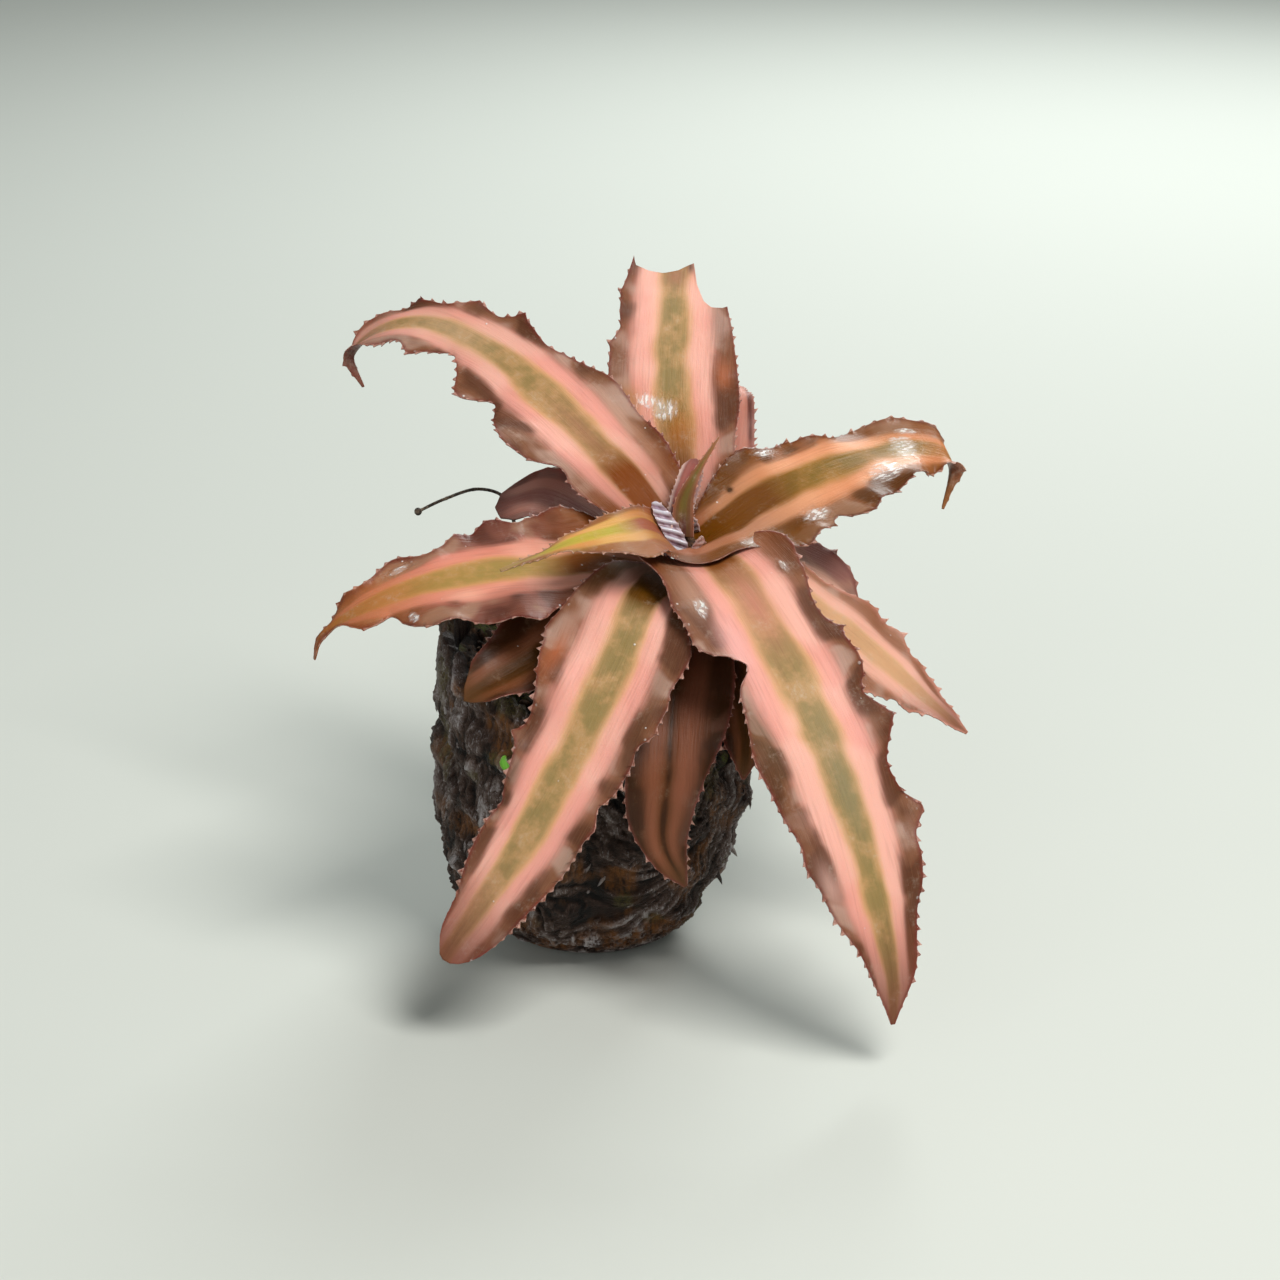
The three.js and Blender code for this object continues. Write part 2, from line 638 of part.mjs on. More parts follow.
addPiece('bark_pot', potGeometry(), 'bark');
addPiece('growing_mix', mixGeometry(), 'mix');
addPiece('stem', stemGeometry(), 'stem');
addPiece('wiry_stalk', stalkGeometry(), 'stalk');
for (const leaf of LEAVES) {
  addPiece(leaf.name, bladeGeometry(leaf), leaf.tint);
}

export default plant;
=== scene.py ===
"""Looks of an earth star plant in a rough bark pot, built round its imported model.

Blender works in metres in the model's own frame: +Z up, the front of the plant towards -Y, the origin
in the middle of the small flat spot that the pot rests on. The classes below hold their sizes in
millimetres, as a grower would measure them, and a mesh is turned into metres when it is made.
"""

import itertools
import logging
from dataclasses import dataclass, replace
from enum import Enum, IntEnum
from functools import cache
from typing import Iterable, Optional, Sequence, Union

import bpy
import numpy as np
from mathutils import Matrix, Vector


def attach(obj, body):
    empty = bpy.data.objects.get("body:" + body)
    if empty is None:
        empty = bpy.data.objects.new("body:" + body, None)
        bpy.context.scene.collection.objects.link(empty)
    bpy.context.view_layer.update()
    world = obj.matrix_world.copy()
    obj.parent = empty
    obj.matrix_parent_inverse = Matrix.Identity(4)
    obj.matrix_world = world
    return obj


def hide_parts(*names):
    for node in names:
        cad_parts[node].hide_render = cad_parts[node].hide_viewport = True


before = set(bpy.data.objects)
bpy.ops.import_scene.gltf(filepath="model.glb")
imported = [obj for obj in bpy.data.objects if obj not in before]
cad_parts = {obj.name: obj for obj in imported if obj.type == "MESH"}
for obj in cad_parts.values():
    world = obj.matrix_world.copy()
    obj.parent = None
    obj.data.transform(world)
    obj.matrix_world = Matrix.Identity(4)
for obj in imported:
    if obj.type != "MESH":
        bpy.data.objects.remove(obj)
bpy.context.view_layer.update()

LOG = logging.getLogger("earth_star")
METRE_PER_MM = 0.001
MM_PER_CM = 10.0

# Large primes that mix the bits of a cell's place, and the largest number that is kept of them
HASH_PRIMES = (73856093, 19349663, 83492791)
HASH_SEED_PRIME = 2654435761
HASH_LAST_PRIME = 1274126177
HASH_TOP = 65535

# Added to every cell place, so that none is below 0
CELL_SHIFT = 4096.0

Triple = tuple[float, float, float]
Array = np.ndarray
Socket = bpy.types.NodeSocket
Piece = bpy.types.Object


class Slot(str, Enum):
    """Material slots of the record that the pieces take their finish from."""

    LEAF = "leaf"
    YOUNG_LEAF = "young_leaf"
    SHADED_LEAF = "shaded_leaf"
    DARK_LEAF = "dark_leaf"
    BARK = "bark"
    MIX = "mix"
    STEM = "stem"
    STALK = "stalk"
    SPROUT = "sprout"


class Seed(IntEnum):
    """Which field of random numbers a form, a growth or a scatter takes."""

    FLAKES = 7
    FRILL = 11
    FINE_FRILL = 12
    CHIPS = 17
    SHEATH_WRINKLES = 21
    SHEATH_SWELLS = 22
    RIM_SPLINTERS = 41
    RIM_HEIGHTS = 42
    BARK_BENDS = 51
    BARK_FIBRES = 54
    BARK_PLATES = 55
    BARK_GRIT = 56
    BARK_CRACKS = 57
    BARK_SCALES = 58
    BARK_SMALL_SCALES = 59
    STAIN = 61
    MOSS = 63
    FOOT_LUMPS = 65
    FOOT_SCALES = 66
    STEM_FIBRES = 71
    STALK_GRAIN = 81
    MIX_CRUMBS = 91
    MIX_FINE_CRUMBS = 92
    MIX_MOSS = 93
    MIX_STAIN = 94
    TEETH = 100


# Numbers that vary: smooth steps, runs of values and noise


def smooth(low: float, high: float, x: Array) -> Array:
    """Rises from 0 at `low` to 1 at `high` with level ends: 3t² - 2t³ of the clamped share t."""
    t = np.clip((np.asarray(x, float) - low) / (high - low), 0.0, 1.0)
    return t * t * (3.0 - 2.0 * t)


def grown(u: Array, starts: float, full: float, fades: float) -> Array:
    """Rises from 0 to 1 between two shares of the length, and falls to 0 from a third one to the tip."""
    return smooth(starts, full, u) * (1.0 - smooth(fades, 1.0, u))


def bearings(number: int) -> Array:
    """Even bearings round a full turn, the first at 0."""
    return np.linspace(0, 2 * np.pi, number, endpoint=False)


def hump(x: Array, middle: float, spread: float) -> Array:
    """A soft bump of height 1: e to the power of minus the squared distance over the squared spread."""
    return np.exp(-(((x - middle) / spread) ** 2))


def along(values: Sequence[float], u: Array) -> Array:
    """Reads a run of values given at equal steps as a smooth curve (uniform Catmull-Rom).

    Between two values b and c, with neighbours a and d, the cubic passes through b and c and leaves
    them with slopes (c - a) / 2 and (d - b) / 2. Past the ends the run goes on straight.

    Args:
        values: the run of values, first to last.
        u: where to read it, from 0 to 1.

    Returns:
        The value at each u.
    """
    run = np.asarray(values, float)
    run = np.concatenate([[2 * run[0] - run[1]], run, [2 * run[-1] - run[-2]]])
    steps = len(values) - 1
    place = np.clip(u, 0.0, 1.0) * steps
    i = np.minimum(place.astype(int), steps - 1)
    w = place - i
    a, b, c, d = run[i], run[i + 1], run[i + 2], run[i + 3]
    return b + 0.5 * w * (c - a + w * (2 * a - 5 * b + 4 * c - d + w * (3 * (b - c) + d - a)))


def unit(vectors: Array) -> Array:
    """The same directions with length 1."""
    return vectors / np.linalg.norm(vectors, axis=-1, keepdims=True)


def scramble(cells: Array, seed: int) -> Array:
    """A repeatable random number from -1 to 1 for each whole-number cell, by mixing its bits.

    Args:
        cells: whole-number cell places, three to a row.
        seed: picks one field of numbers.

    Returns:
        One number for each cell.
    """
    x, y, z = (cells[..., k].astype(np.uint64) for k in range(3))
    bits = x * np.uint64(HASH_PRIMES[0]) ^ y * np.uint64(HASH_PRIMES[1]) ^ z * np.uint64(HASH_PRIMES[2])
    bits ^= np.uint64(seed * HASH_SEED_PRIME)
    bits = (bits ^ (bits >> np.uint64(13))) * np.uint64(HASH_LAST_PRIME)
    bits ^= bits >> np.uint64(16)
    return (bits & np.uint64(HASH_TOP)).astype(float) / (HASH_TOP / 2) - 1.0


def noise(points: Array, size: Union[float, Triple], seed: int, octaves: int = 1) -> Array:
    """Smooth random value at each point, from about -1 to 1.

    Space is cut into cells of the given size. Each cell corner has a random number, and a point takes
    the eight numbers round it, weighted by 3t² - 2t³ along each axis. Each further octave adds the
    same at half the size and half the strength.

    Args:
        points: places in millimetres, three to a row.
        size: size of a cell in millimetres, or one for each axis.
        seed: picks one field of numbers.
        octaves: how many finer layers are added up, the first included.

    Returns:
        One value for each point.
    """
    total = np.zeros(points.shape[:-1])
    for octave in range(octaves):
        place = points / (np.asarray(size, float) / 2.0**octave) + CELL_SHIFT
        cell = np.floor(place).astype(np.int64)
        t = place - cell
        t = t * t * (3.0 - 2.0 * t)
        for corner in itertools.product((0, 1), repeat=3):
            share = np.prod(np.where(np.array(corner) == 1, t, 1.0 - t), axis=-1)
            total += share * scramble(cell + np.array(corner), seed + octave) / 2.0**octave
    return total


def blocks(points: Array, size: Union[float, Triple], seed: int) -> Array:
    """One random value from -1 to 1 for the whole of each cell, so that cells meet in steps."""
    return scramble(np.floor(points / np.asarray(size, float) + CELL_SHIFT).astype(np.int64), seed)


def ridges(points: Array, size: Union[float, Triple], seed: int, octaves: int = 1) -> Array:
    """Sharp-crested ridges from 0 to 1: one minus the size of the noise, squared."""
    return (1.0 - np.minimum(np.abs(noise(points, size, seed, octaves)) * 1.6, 1.0)) ** 2


class RibCurve:
    """A smooth curve through given points, read by the share of its length."""

    SAMPLES = 1201
    STEP = 0.004

    def __init__(self, points: Array) -> None:
        """Samples the centripetal Catmull-Rom curve through the points.

        Between two points the cubic leaves each with the slope of its neighbours, weighed by the
        square roots of the distances, so that it makes no loops. Past the ends it goes on straight.

        Args:
            points: the points that the curve passes through, in order.
        """
        knots = np.vstack([2 * points[0] - points[1], points, 2 * points[-1] - points[-2]])
        spans = len(points) - 1
        place = np.linspace(0.0, spans, self.SAMPLES)
        i = np.minimum(place.astype(int), spans - 1)
        w = (place - i)[:, None]
        a, b, c, d = (knots[i + k] for k in range(4))
        pairs = ((a, b), (b, c), (c, d))
        root = [np.sqrt(np.linalg.norm(q - p, axis=-1, keepdims=True)) for p, q in pairs]
        leave = ((b - a) / root[0] - (c - a) / (root[0] + root[1]) + (c - b) / root[1]) * root[1]
        reach = ((c - b) / root[1] - (d - b) / (root[1] + root[2]) + (d - c) / root[2]) * root[1]
        cubic = (2 * (b - c) + leave + reach) * w**3
        self.samples = b + leave * w + (3 * (c - b) - 2 * leave - reach) * w**2 + cubic
        steps = np.linalg.norm(np.diff(self.samples, axis=0), axis=-1)
        self.distance = np.concatenate([[0.0], np.cumsum(steps)])
        self.length = float(self.distance[-1])

    def at(self, u: Array) -> Array:
        """Points of the curve at shares u of its length."""
        wanted = np.clip(u, 0.0, 1.0) * self.length
        return np.stack([np.interp(wanted, self.distance, self.samples[:, k]) for k in range(3)], -1)

    def tangent(self, u: Array) -> Array:
        """Directions of the curve at shares u of its length, from points a little before and after."""
        return unit(self.at(np.minimum(u + self.STEP, 1.0)) - self.at(np.maximum(u - self.STEP, 0.0)))


# Meshes


def grid_quads(rows: int, columns: int, wraps: bool = False, first: int = 0) -> Array:
    """Four-cornered faces of a grid of points stored row by row.

    Args:
        rows: number of rows of points.
        columns: number of points in a row.
        wraps: whether each row closes on itself.
        first: index of the grid's first point.

    Returns:
        Corner indices, four to a face.
    """
    r = np.arange(rows - 1)[:, None]
    c = np.arange(columns if wraps else columns - 1)[None, :]
    after = (c + 1) % columns
    corners = [r * columns + c, r * columns + after, (r + 1) * columns + after, (r + 1) * columns + c]
    return np.stack(np.broadcast_arrays(*corners), -1).reshape(-1, 4) + first


def fan(ring: Array, pole: int) -> Array:
    """Triangles from each side of a closed ring of point indices to one pole."""
    return np.stack([ring, np.roll(ring, -1), np.full(len(ring), pole)], -1)


def closed_rings(rings: Array, poles: Sequence[Sequence[float]]) -> tuple[Array, list[Array]]:
    """Closes a stack of rings of points with a fan of triangles at each end.

    Args:
        rings: points by ring and by place round it.
        poles: the point in the middle of the first ring, and the one in the middle of the last.

    Returns:
        The points, ring by ring and then the poles, and the faces.
    """
    count, sides = rings.shape[:2]
    index = np.arange(count * sides).reshape(count, sides)
    ends = [fan(index[0], index.size)[:, ::-1], fan(index[-1], index.size + 1)]
    return np.vstack([rings.reshape(-1, 3), poles]), [grid_quads(count, sides, wraps=True), *ends]


def inside_out(points: Array, faces: Iterable[Array]) -> bool:
    """Whether a closed skin faces inwards: its enclosed volume comes out negative.

    The volume is the sum over the triangles of a fan of each face of p · (q × r) / 6.

    Args:
        points: the skin's points.
        faces: arrays of corner indices.

    Returns:
        True where it faces inwards.
    """
    total = 0.0
    for corners in faces:
        for k in range(1, corners.shape[1] - 1):
            p, q, r = points[corners[:, 0]], points[corners[:, k]], points[corners[:, k + 1]]
            total += float(np.einsum("ij,ij->", p, np.cross(q, r)))
    return total < 0.0


def piece_from(
    name: str,
    points: Array,
    faces: Sequence[Array],
    values: Optional[dict[str, Array]] = None,
) -> Piece:
    """Makes an object of a closed skin, turned so that its faces point outwards.

    Args:
        name: the piece's name.
        points: its points in millimetres.
        faces: arrays of corner indices, three or four to a face.
        values: numbers that the material reads, three to a point, by attribute name.

    Returns:
        The new object, with its place in its mesh.
    """
    flip = inside_out(points, faces)
    ordered = [corners[:, ::-1] if flip else corners for corners in faces]
    mesh = bpy.data.meshes.new(name)
    mesh.vertices.add(len(points))
    mesh.vertices.foreach_set("co", (points * METRE_PER_MM).astype(np.float32).ravel())
    loops = np.concatenate([corners.ravel() for corners in ordered]).astype(np.int32)
    sizes = np.concatenate([np.full(len(corners), corners.shape[1]) for corners in ordered])
    mesh.loops.add(len(loops))
    mesh.loops.foreach_set("vertex_index", loops)
    mesh.polygons.add(len(sizes))
    mesh.polygons.foreach_set("loop_start", (np.cumsum(sizes) - sizes).astype(np.int32))
    mesh.polygons.foreach_set("use_smooth", np.ones(len(sizes), bool))
    for key, numbers in (values or {}).items():
        layer = mesh.attributes.new(key, "FLOAT_VECTOR", "POINT")
        layer.data.foreach_set("vector", numbers.astype(np.float32).ravel())
    mesh.update(calc_edges=True)
    thing = bpy.data.objects.new(name, mesh)
    bpy.context.scene.collection.objects.link(thing)
    return thing


def thin_skin(upper: Array, lower: Array) -> tuple[Array, list[Array]]:
    """Closes two grids of points, one just under the other, into a thin blade.

    Args:
        upper: points of the upper face, by row and column.
        lower: points of the lower face, by row and column.

    Returns:
        The points, upper face first, and the faces with the edge all round.
    """
    rows, columns = upper.shape[:2]
    count = rows * columns
    faces = [grid_quads(rows, columns), grid_quads(rows, columns, first=count)[:, ::-1]]
    index = np.arange(count).reshape(rows, columns)
    border = np.concatenate([index[0, :-1], index[:-1, -1], index[-1, :0:-1], index[:0:-1, 0]])
    after = np.roll(border, -1)
    faces.append(np.stack([after, border, border + count, after + count], -1))
    return np.vstack([upper.reshape(-1, 3), lower.reshape(-1, 3)]), faces


def scattered(
    shape: Array, faces: Sequence[Array], frames: Array, places: Array
) -> tuple[Array, list[Array]]:
    """Copies one small closed shape to many places.

    Args:
        shape: the shape's points.
        faces: its faces, as arrays of corner indices.
        frames: for each copy the three directions, with their sizes, that its x, y and z turn into.
        places: for each copy the point that its origin goes to.

    Returns:
        The points of all copies, and their faces.
    """
    points = np.einsum("pk,nkj->npj", shape, frames) + places[:, None, :]
    shift = (np.arange(len(places)) * len(shape))[:, None, None]
    copied = [(corners[None] + shift).reshape(-1, corners.shape[1]) for corners in faces]
    return points.reshape(-1, 3), copied


def crust_values(
    level: Array, stain: Union[float, Array], moss: Union[float, Array]
) -> dict[str, Array]:
    """What a crust's finish reads at each point: the relief's height, the stain and the moss."""
    return {"crust": np.stack(np.broadcast_arrays(level, stain, moss), -1)}


# Shader maths


Number = Union[float, "Value"]
Colour = Union[str, Socket]


def linear(hex_colour: str) -> tuple[float, float, float, float]:
    """The light that a screen colour stands for, by the sRGB curve.

    Args:
        hex_colour: the colour, such as "f3bfab".

    Returns:
        Red, green, blue and 1.
    """
    screen = np.array([int(hex_colour[k : k + 2], 16) for k in (0, 2, 4)]) / 255.0
    light = np.where(screen <= 0.04045, screen / 12.92, ((screen + 0.055) / 1.055) ** 2.4)
    return (float(light[0]), float(light[1]), float(light[2]), 1.0)


class Value:
    """A number that varies over a surface, as a socket that takes part in plain arithmetic."""

    def __init__(self, paint: "Paint", socket: Socket) -> None:
        """Wraps a socket of a material."""
        self.paint = paint
        self.socket = socket

    def math(self, operation: str, *others: Number, clamp: bool = False) -> "Value":
        """One Math node on this value and up to two others."""
        settings = {"operation": operation, "use_clamp": clamp}
        return self.paint.value("ShaderNodeMath", settings, dict(enumerate((self, *others))))

    def __add__(self, other: Number) -> "Value":
        """Sum."""
        return self.math("ADD", other)

    __radd__ = __add__

    def __mul__(self, other: Number) -> "Value":
        """Product."""
        return self.math("MULTIPLY", other)

    __rmul__ = __mul__

    def __sub__(self, other: Number) -> "Value":
        """Difference."""
        return self.math("SUBTRACT", other)

    def __rsub__(self, other: float) -> "Value":
        """Difference from a plain number."""
        return (self * -1.0) + other

    def __abs__(self) -> "Value":
        """Size without sign."""
        return self.math("ABSOLUTE")

    def kept(self) -> "Value":
        """Held between 0 and 1."""
        return self.math("ADD", 0.0, clamp=True)

    def rise(self, low: float, high: float) -> "Value":
        """Smooth step from 0 at `low` to 1 at `high`."""
        inputs = {"Value": self, "From Min": low, "From Max": high}
        return self.paint.value("ShaderNodeMapRange", {"interpolation_type": "SMOOTHSTEP"}, inputs)

    def fall(self, low: float, high: float) -> "Value":
        """Smooth step from 1 at `low` to 0 at `high`."""
        return 1.0 - self.rise(low, high)


class Paint:
    """A node material under construction."""

    def __init__(self, name: str) -> None:
        """Starts an empty node material.

        Args:
            name: its name.
        """
        self.material = bpy.data.materials.new(name)
        self.material.use_nodes = True
        self.tree = self.material.node_tree
        self.tree.nodes.clear()

    def node(
        self, kind: str, settings: Optional[dict] = None, inputs: Optional[dict] = None
    ) -> bpy.types.Node:
        """Adds one node.

        Args:
            kind: the node's type.
            settings: its own settings, set first; a ramp's stops go under "stops".
            inputs: values or links of its sockets, by name or index.

        Returns:
            The new node.
        """
        made = self.tree.nodes.new(kind)
        for key, setting in (settings or {}).items():
            if key == "stops":
                self._set_stops(made.color_ramp, setting)
            else:
                setattr(made, key, setting)
        for key, given in (inputs or {}).items():
            socket = given.socket if isinstance(given, Value) else given
            if isinstance(socket, Socket):
                self.tree.links.new(socket, made.inputs[key])
            else:
                made.inputs[key].default_value = linear(socket) if isinstance(socket, str) else socket
        return made

    @staticmethod
    def _set_stops(ramp: bpy.types.ColorRamp, stops: Sequence[tuple[float, str]]) -> None:
        """Gives a ramp its stops.

        Args:
            ramp: the ramp.
            stops: place and screen colour of each.
        """
        ramp.interpolation = "B_SPLINE"
        while len(ramp.elements) < len(stops):
            ramp.elements.new(1.0)
        for element, (place, colour) in zip(ramp.elements, stops):
            element.position = place
            element.color = linear(colour)

    def value(self, kind: str, settings: dict, inputs: dict) -> Value:
        """Adds one node, as `node` does, and takes its first number."""
        return Value(self, self.node(kind, settings, inputs).outputs[0])

    def attribute(self, name: str) -> Socket:
        """The vector attribute of the piece with that name."""
        return self.node("ShaderNodeAttribute", {"attribute_name": name}).outputs["Vector"]

    def parts(self, vector: Socket) -> tuple[Value, Value, Value]:
        """The three numbers of a vector."""
        made = self.node("ShaderNodeSeparateXYZ", {}, {0: vector})
        return (Value(self, made.outputs[0]), Value(self, made.outputs[1]), Value(self, made.outputs[2]))

    def vector(self, x: Number, y: Number, z: Number) -> Socket:
        """A vector from three numbers."""
        return self.node("ShaderNodeCombineXYZ", {}, {0: x, 1: y, 2: z}).outputs[0]

    def place(self) -> Socket:
        """Object coordinates, in metres."""
        return self.node("ShaderNodeTexCoord").outputs["Object"]

    def cloud(self, at: Socket, scale: float, detail: float = 3.0, rough: float = 0.55) -> Value:
        """Noise from 0 to 1 at a vector: blobs to a unit, number of finer layers and their strength."""
        inputs = {"Vector": at, "Scale": scale, "Detail": detail, "Roughness": rough}
        return self.value("ShaderNodeTexNoise", {}, inputs)

    def cells(self, at: Socket, scale: float) -> tuple[Value, Value]:
        """Distance to the nearest of many random points, and a random number for that point."""
        made = self.node("ShaderNodeTexVoronoi", {}, {"Vector": at, "Scale": scale})
        return Value(self, made.outputs["Distance"]), self.parts(made.outputs["Color"])[0]

    def mix(self, share: Number, first: Colour, second: Colour, blend: str = "MIX") -> Socket:
        """Blends two colours: the second shows by the share."""
        settings = {"data_type": "RGBA", "blend_type": blend}
        return self.node("ShaderNodeMix", settings, {0: share, 6: first, 7: second}).outputs[2]

    def ramp(self, value: Value, stops: Sequence[tuple[float, str]]) -> Socket:
        """Colour for a value, blended softly between the stops."""
        return self.node("ShaderNodeValToRGB", {"stops": stops}, {0: value}).outputs[0]

    def bump(self, height: Value, depth_mm: float, strength: float) -> Socket:
        """Surface normal of a fine relief, its depth in millimetres."""
        inputs = {"Height": height, "Distance": depth_mm * METRE_PER_MM, "Strength": strength}
        return self.node("ShaderNodeBump", {}, inputs).outputs[0]

    def finish(self, inputs: dict) -> bpy.types.Material:
        """Ends the material in one surface shader.

        Args:
            inputs: values or links of its sockets, by name.

        Returns:
            The material.
        """
        shader = self.node("ShaderNodeBsdfPrincipled", {}, inputs)
        self.node("ShaderNodeOutputMaterial", {}, {"Surface": shader.outputs[0]})
        return self.material


# Finishes


class BladeTraits:
    """What a blade's finish reads at each spot: the piece's own attributes, and noise laid over it.

    The attribute `blade` holds the place across (0 on the middle stripe, 1 at an even margin) and the
    distance from the margin in millimetres, less than 0 on a tooth. `grain` holds the places across
    and along in centimetres, and the side: 1 above, -1 below. `tone` holds how far the base colour
    (partly the leaf's own ochre, partly painted shade near the crown), the tip colour and the gleam
    (a painted highlight on a glossy patch) have come through, and `extra` the share of stain and the
    height on a ripple from -1 to 1, which is -1 where there is none. A sheath has no `extra` and reads 0.
    """

    # Blobs of noise to a centimetre, across the blade and along it
    STREAKS = (9.0, 0.5)
    THREADS = (60.0, 1.5)
    DASHES = (13.0, 5.0)

    # Blobs of noise to a metre of Object coordinates
    BROAD = 48.0
    DRIFT = 95.0
    BLOTCHES = 150.0
    DROPS = 420.0
    DUST = 900.0

    def __init__(self, paint: Paint) -> None:
        """Reads the attributes and lays the noise: streaks along the blade, clouds, dust and drops.

        Args:
            paint: the material.
        """
        self.paint = paint
        self.across, _, self.from_edge = paint.parts(paint.attribute("blade"))
        self.width, self.length, self.side = paint.parts(paint.attribute("grain"))
        self.base, self.tip, self.gleam = paint.parts(paint.attribute("tone"))
        self.stained, self.crest, _ = paint.parts(paint.attribute("extra"))
        self.streaks = paint.cloud(self._drawn_out(paint, self.STREAKS), 1.6, 2.5, 0.5)
        self.threads = paint.cloud(self._drawn_out(paint, self.THREADS), 1.0, 2.0)
        self.dashes = paint.cloud(self._drawn_out(paint, self.DASHES), 1.0, 3.0, 0.62).rise(0.48, 0.58)
        place = paint.place()
        self.broad = paint.cloud(place, self.BROAD, 2.0, 0.5)
        self.drift = paint.cloud(place, self.DRIFT, 1.5, 0.45)
        self.blotches = paint.cloud(place, self.BLOTCHES, 4.0, 0.6)
        self.dust = paint.cloud(place, self.DUST, 3.0, 0.7)
        # Drops of water: sparse specks, and beads along the margins; their white is painted glint
        distance, chance = paint.cells(place, self.DROPS)
        self.specks = distance.fall(0.06, 0.14) * chance.rise(0.93, 0.97)
        self.beads = distance.fall(0.1, 0.2) * chance.rise(0.74, 0.8) * self.from_edge.fall(0.2, 1.3)

    def _drawn_out(self, paint: Paint, blobs: tuple[float, float]) -> Socket:
        """Coordinates in which noise is drawn out along the blade, other ones on each side of it."""
        return paint.vector(self.width * blobs[0], self.length * blobs[1], self.side)


@dataclass(frozen=True)
class BladeFinish:
    """Colours and gloss of one kind of leaf, across the blade from its middle to its margin."""

    name: str
    middle: str
    glow: str
    band: str
    margin: str
    rim: str
    # Dark ochre at the leaf's base: partly its own colour, partly painted shade near the crown
    base: str
    tip: str
    underside: str
    flush: str = "8c5650"
    bloom: str = "f8c8ae"
    # Pale spots on the margins: partly scurf, partly painted sheen
    pale: str = "c4a494"
    scurf: str = "cdbfae"
    # Near-white colour of painted highlights: glints of drops, gleams and ripple crests
    painted_glint: str = "f4efec"
    middle_ends: float = 0.2
    glow_at: float = 0.31
    band_starts: float = 0.4
    band_ends: float = 0.62
    margin_starts: float = 0.8
    roughness: float = 0.42
    coat: float = 0.02
    glow_through: float = 0.16
    slot: Slot = Slot.LEAF

    TOOTH = "e3b6a8"

    @cache
    def material(self) -> bpy.types.Material:
        """Builds the node material once: the upper face, the lower one, gloss and relief for both.

        Returns:
            The material.
        """
        paint = Paint(self.name)
        at = BladeTraits(paint)
        in_middle, in_margin, stripes = self._stripes(at)
        flaky = 0.12 + 0.12 * in_margin + 0.26 * in_middle
        scurfy = at.blotches.rise(0.5, 0.72) * at.dust.rise(0.42, 0.7) * flaky
        scurfed = paint.mix(scurfy.kept(), self._markings_and_painted_light(at, in_middle, in_margin, stripes), self.scurf)
        upper = self._edged(at, self._painted_glints(at, scurfed))
        colour = paint.mix(at.side.rise(-0.1, 0.1), self._lower(at), upper)

        rough = self.roughness + (at.dust - 0.5) * 0.22 + scurfy * 0.5 - at.gleam * 0.24
        fine = at.threads * 0.4 + at.streaks * 0.8 + at.dust * 0.35
        relief = fine + (at.specks + at.beads) * 1.2 + at.gleam * at.dashes * 2.0
        coat = self.coat + at.gleam * at.dashes + at.gleam * 0.15 + at.blotches.rise(0.5, 0.7) * 0.05
        return paint.finish({
            "Base Color": colour,
            "Roughness": rough.kept(),
            "Coat Weight": coat.kept(),
            "Coat Roughness": 0.14,
            "Specular IOR Level": 0.18,
            "Normal": paint.bump(relief, 0.35, 0.55),
            "Subsurface Weight": self.glow_through,
            "Subsurface Radius": (1.0, 0.42, 0.25),
            "Subsurface Scale": 0.0016,
            "IOR": 1.45,
        })

    def _stripes(self, at: BladeTraits) -> tuple[Value, Value, Socket]:
        """Lays the stripes: a ramp over the place across, its edges shifted by noise.

        Args:
            at: what the finish reads.

        Returns:
            How far each spot is in the middle stripe and in the margin, and the colour.
        """
        shifted = abs(at.across) + (at.streaks - 0.5) * 0.07
        shifted = shifted + (at.broad - 0.5) * 0.2 + (at.drift - 0.5) * 0.14
        stripes = at.paint.ramp(shifted, [
            (0.0, self.middle),
            (self.middle_ends, self.middle),
            (self.glow_at, self.glow),
            (self.band_starts, self.band),
            (self.band_ends, self.band),
            (self.margin_starts, self.margin),
        ])
        in_middle = shifted.fall(self.middle_ends, self.band_starts)
        in_margin = shifted.rise(self.band_ends, self.margin_starts)
        return in_middle, in_margin, stripes

    def _markings_and_painted_light(self, at: BladeTraits, in_middle: Value, in_margin: Value, colour: Colour) -> Socket:
        """Lays on the leaf's own markings, and with them some painted light.

        In turn: glow on the middle, bloom on the bands, dark flush and pale spots on the margins, the
        pale spots partly scurf and partly painted sheen, the stains, the base colour, partly the leaf's own
        ochre and partly painted shade near the crown, the tip colour, dark streaks and light threads.

        Args:
            at: what the finish reads.
            in_middle: how far each spot is in the middle stripe.
            in_margin: how far it is in the margin.
            colour: the stripes.

        Returns:
            The colour.
        """
        mix = at.paint.mix
        in_band = (1.0 - in_middle) * (1.0 - in_margin)
        # The base colour, partly painted shade near the crown, covers the middle most
        from_base = (at.base * (0.3 + 0.75 * in_middle + 0.2 * in_margin)).kept()
        colour = mix(in_middle * at.blotches.rise(0.4, 0.62) * 0.42, colour, self.glow)
        colour = mix(in_band * at.broad.rise(0.42, 0.6) * 0.6, colour, self.bloom)
        colour = mix(in_margin * at.drift.rise(0.46, 0.58) * 0.75, colour, self.flush)
        # Pale spots on the margins, partly scurf and partly painted sheen
        colour = mix(in_margin * at.drift.fall(0.36, 0.46) * 0.6, colour, self.pale)
        colour = mix((at.stained * (0.7 + at.streaks * 0.5)).kept(), colour, at.paint.attribute("stain"))
        colour = mix(from_base, colour, self.base)
        colour = mix((at.tip * 0.9).kept(), colour, self.tip)
        colour = mix(at.streaks.rise(0.5, 0.75) * 0.12, colour, self.margin, "MULTIPLY")
        return mix(at.threads.rise(0.5, 0.7) * 0.05, colour, self.glow, "SCREEN")

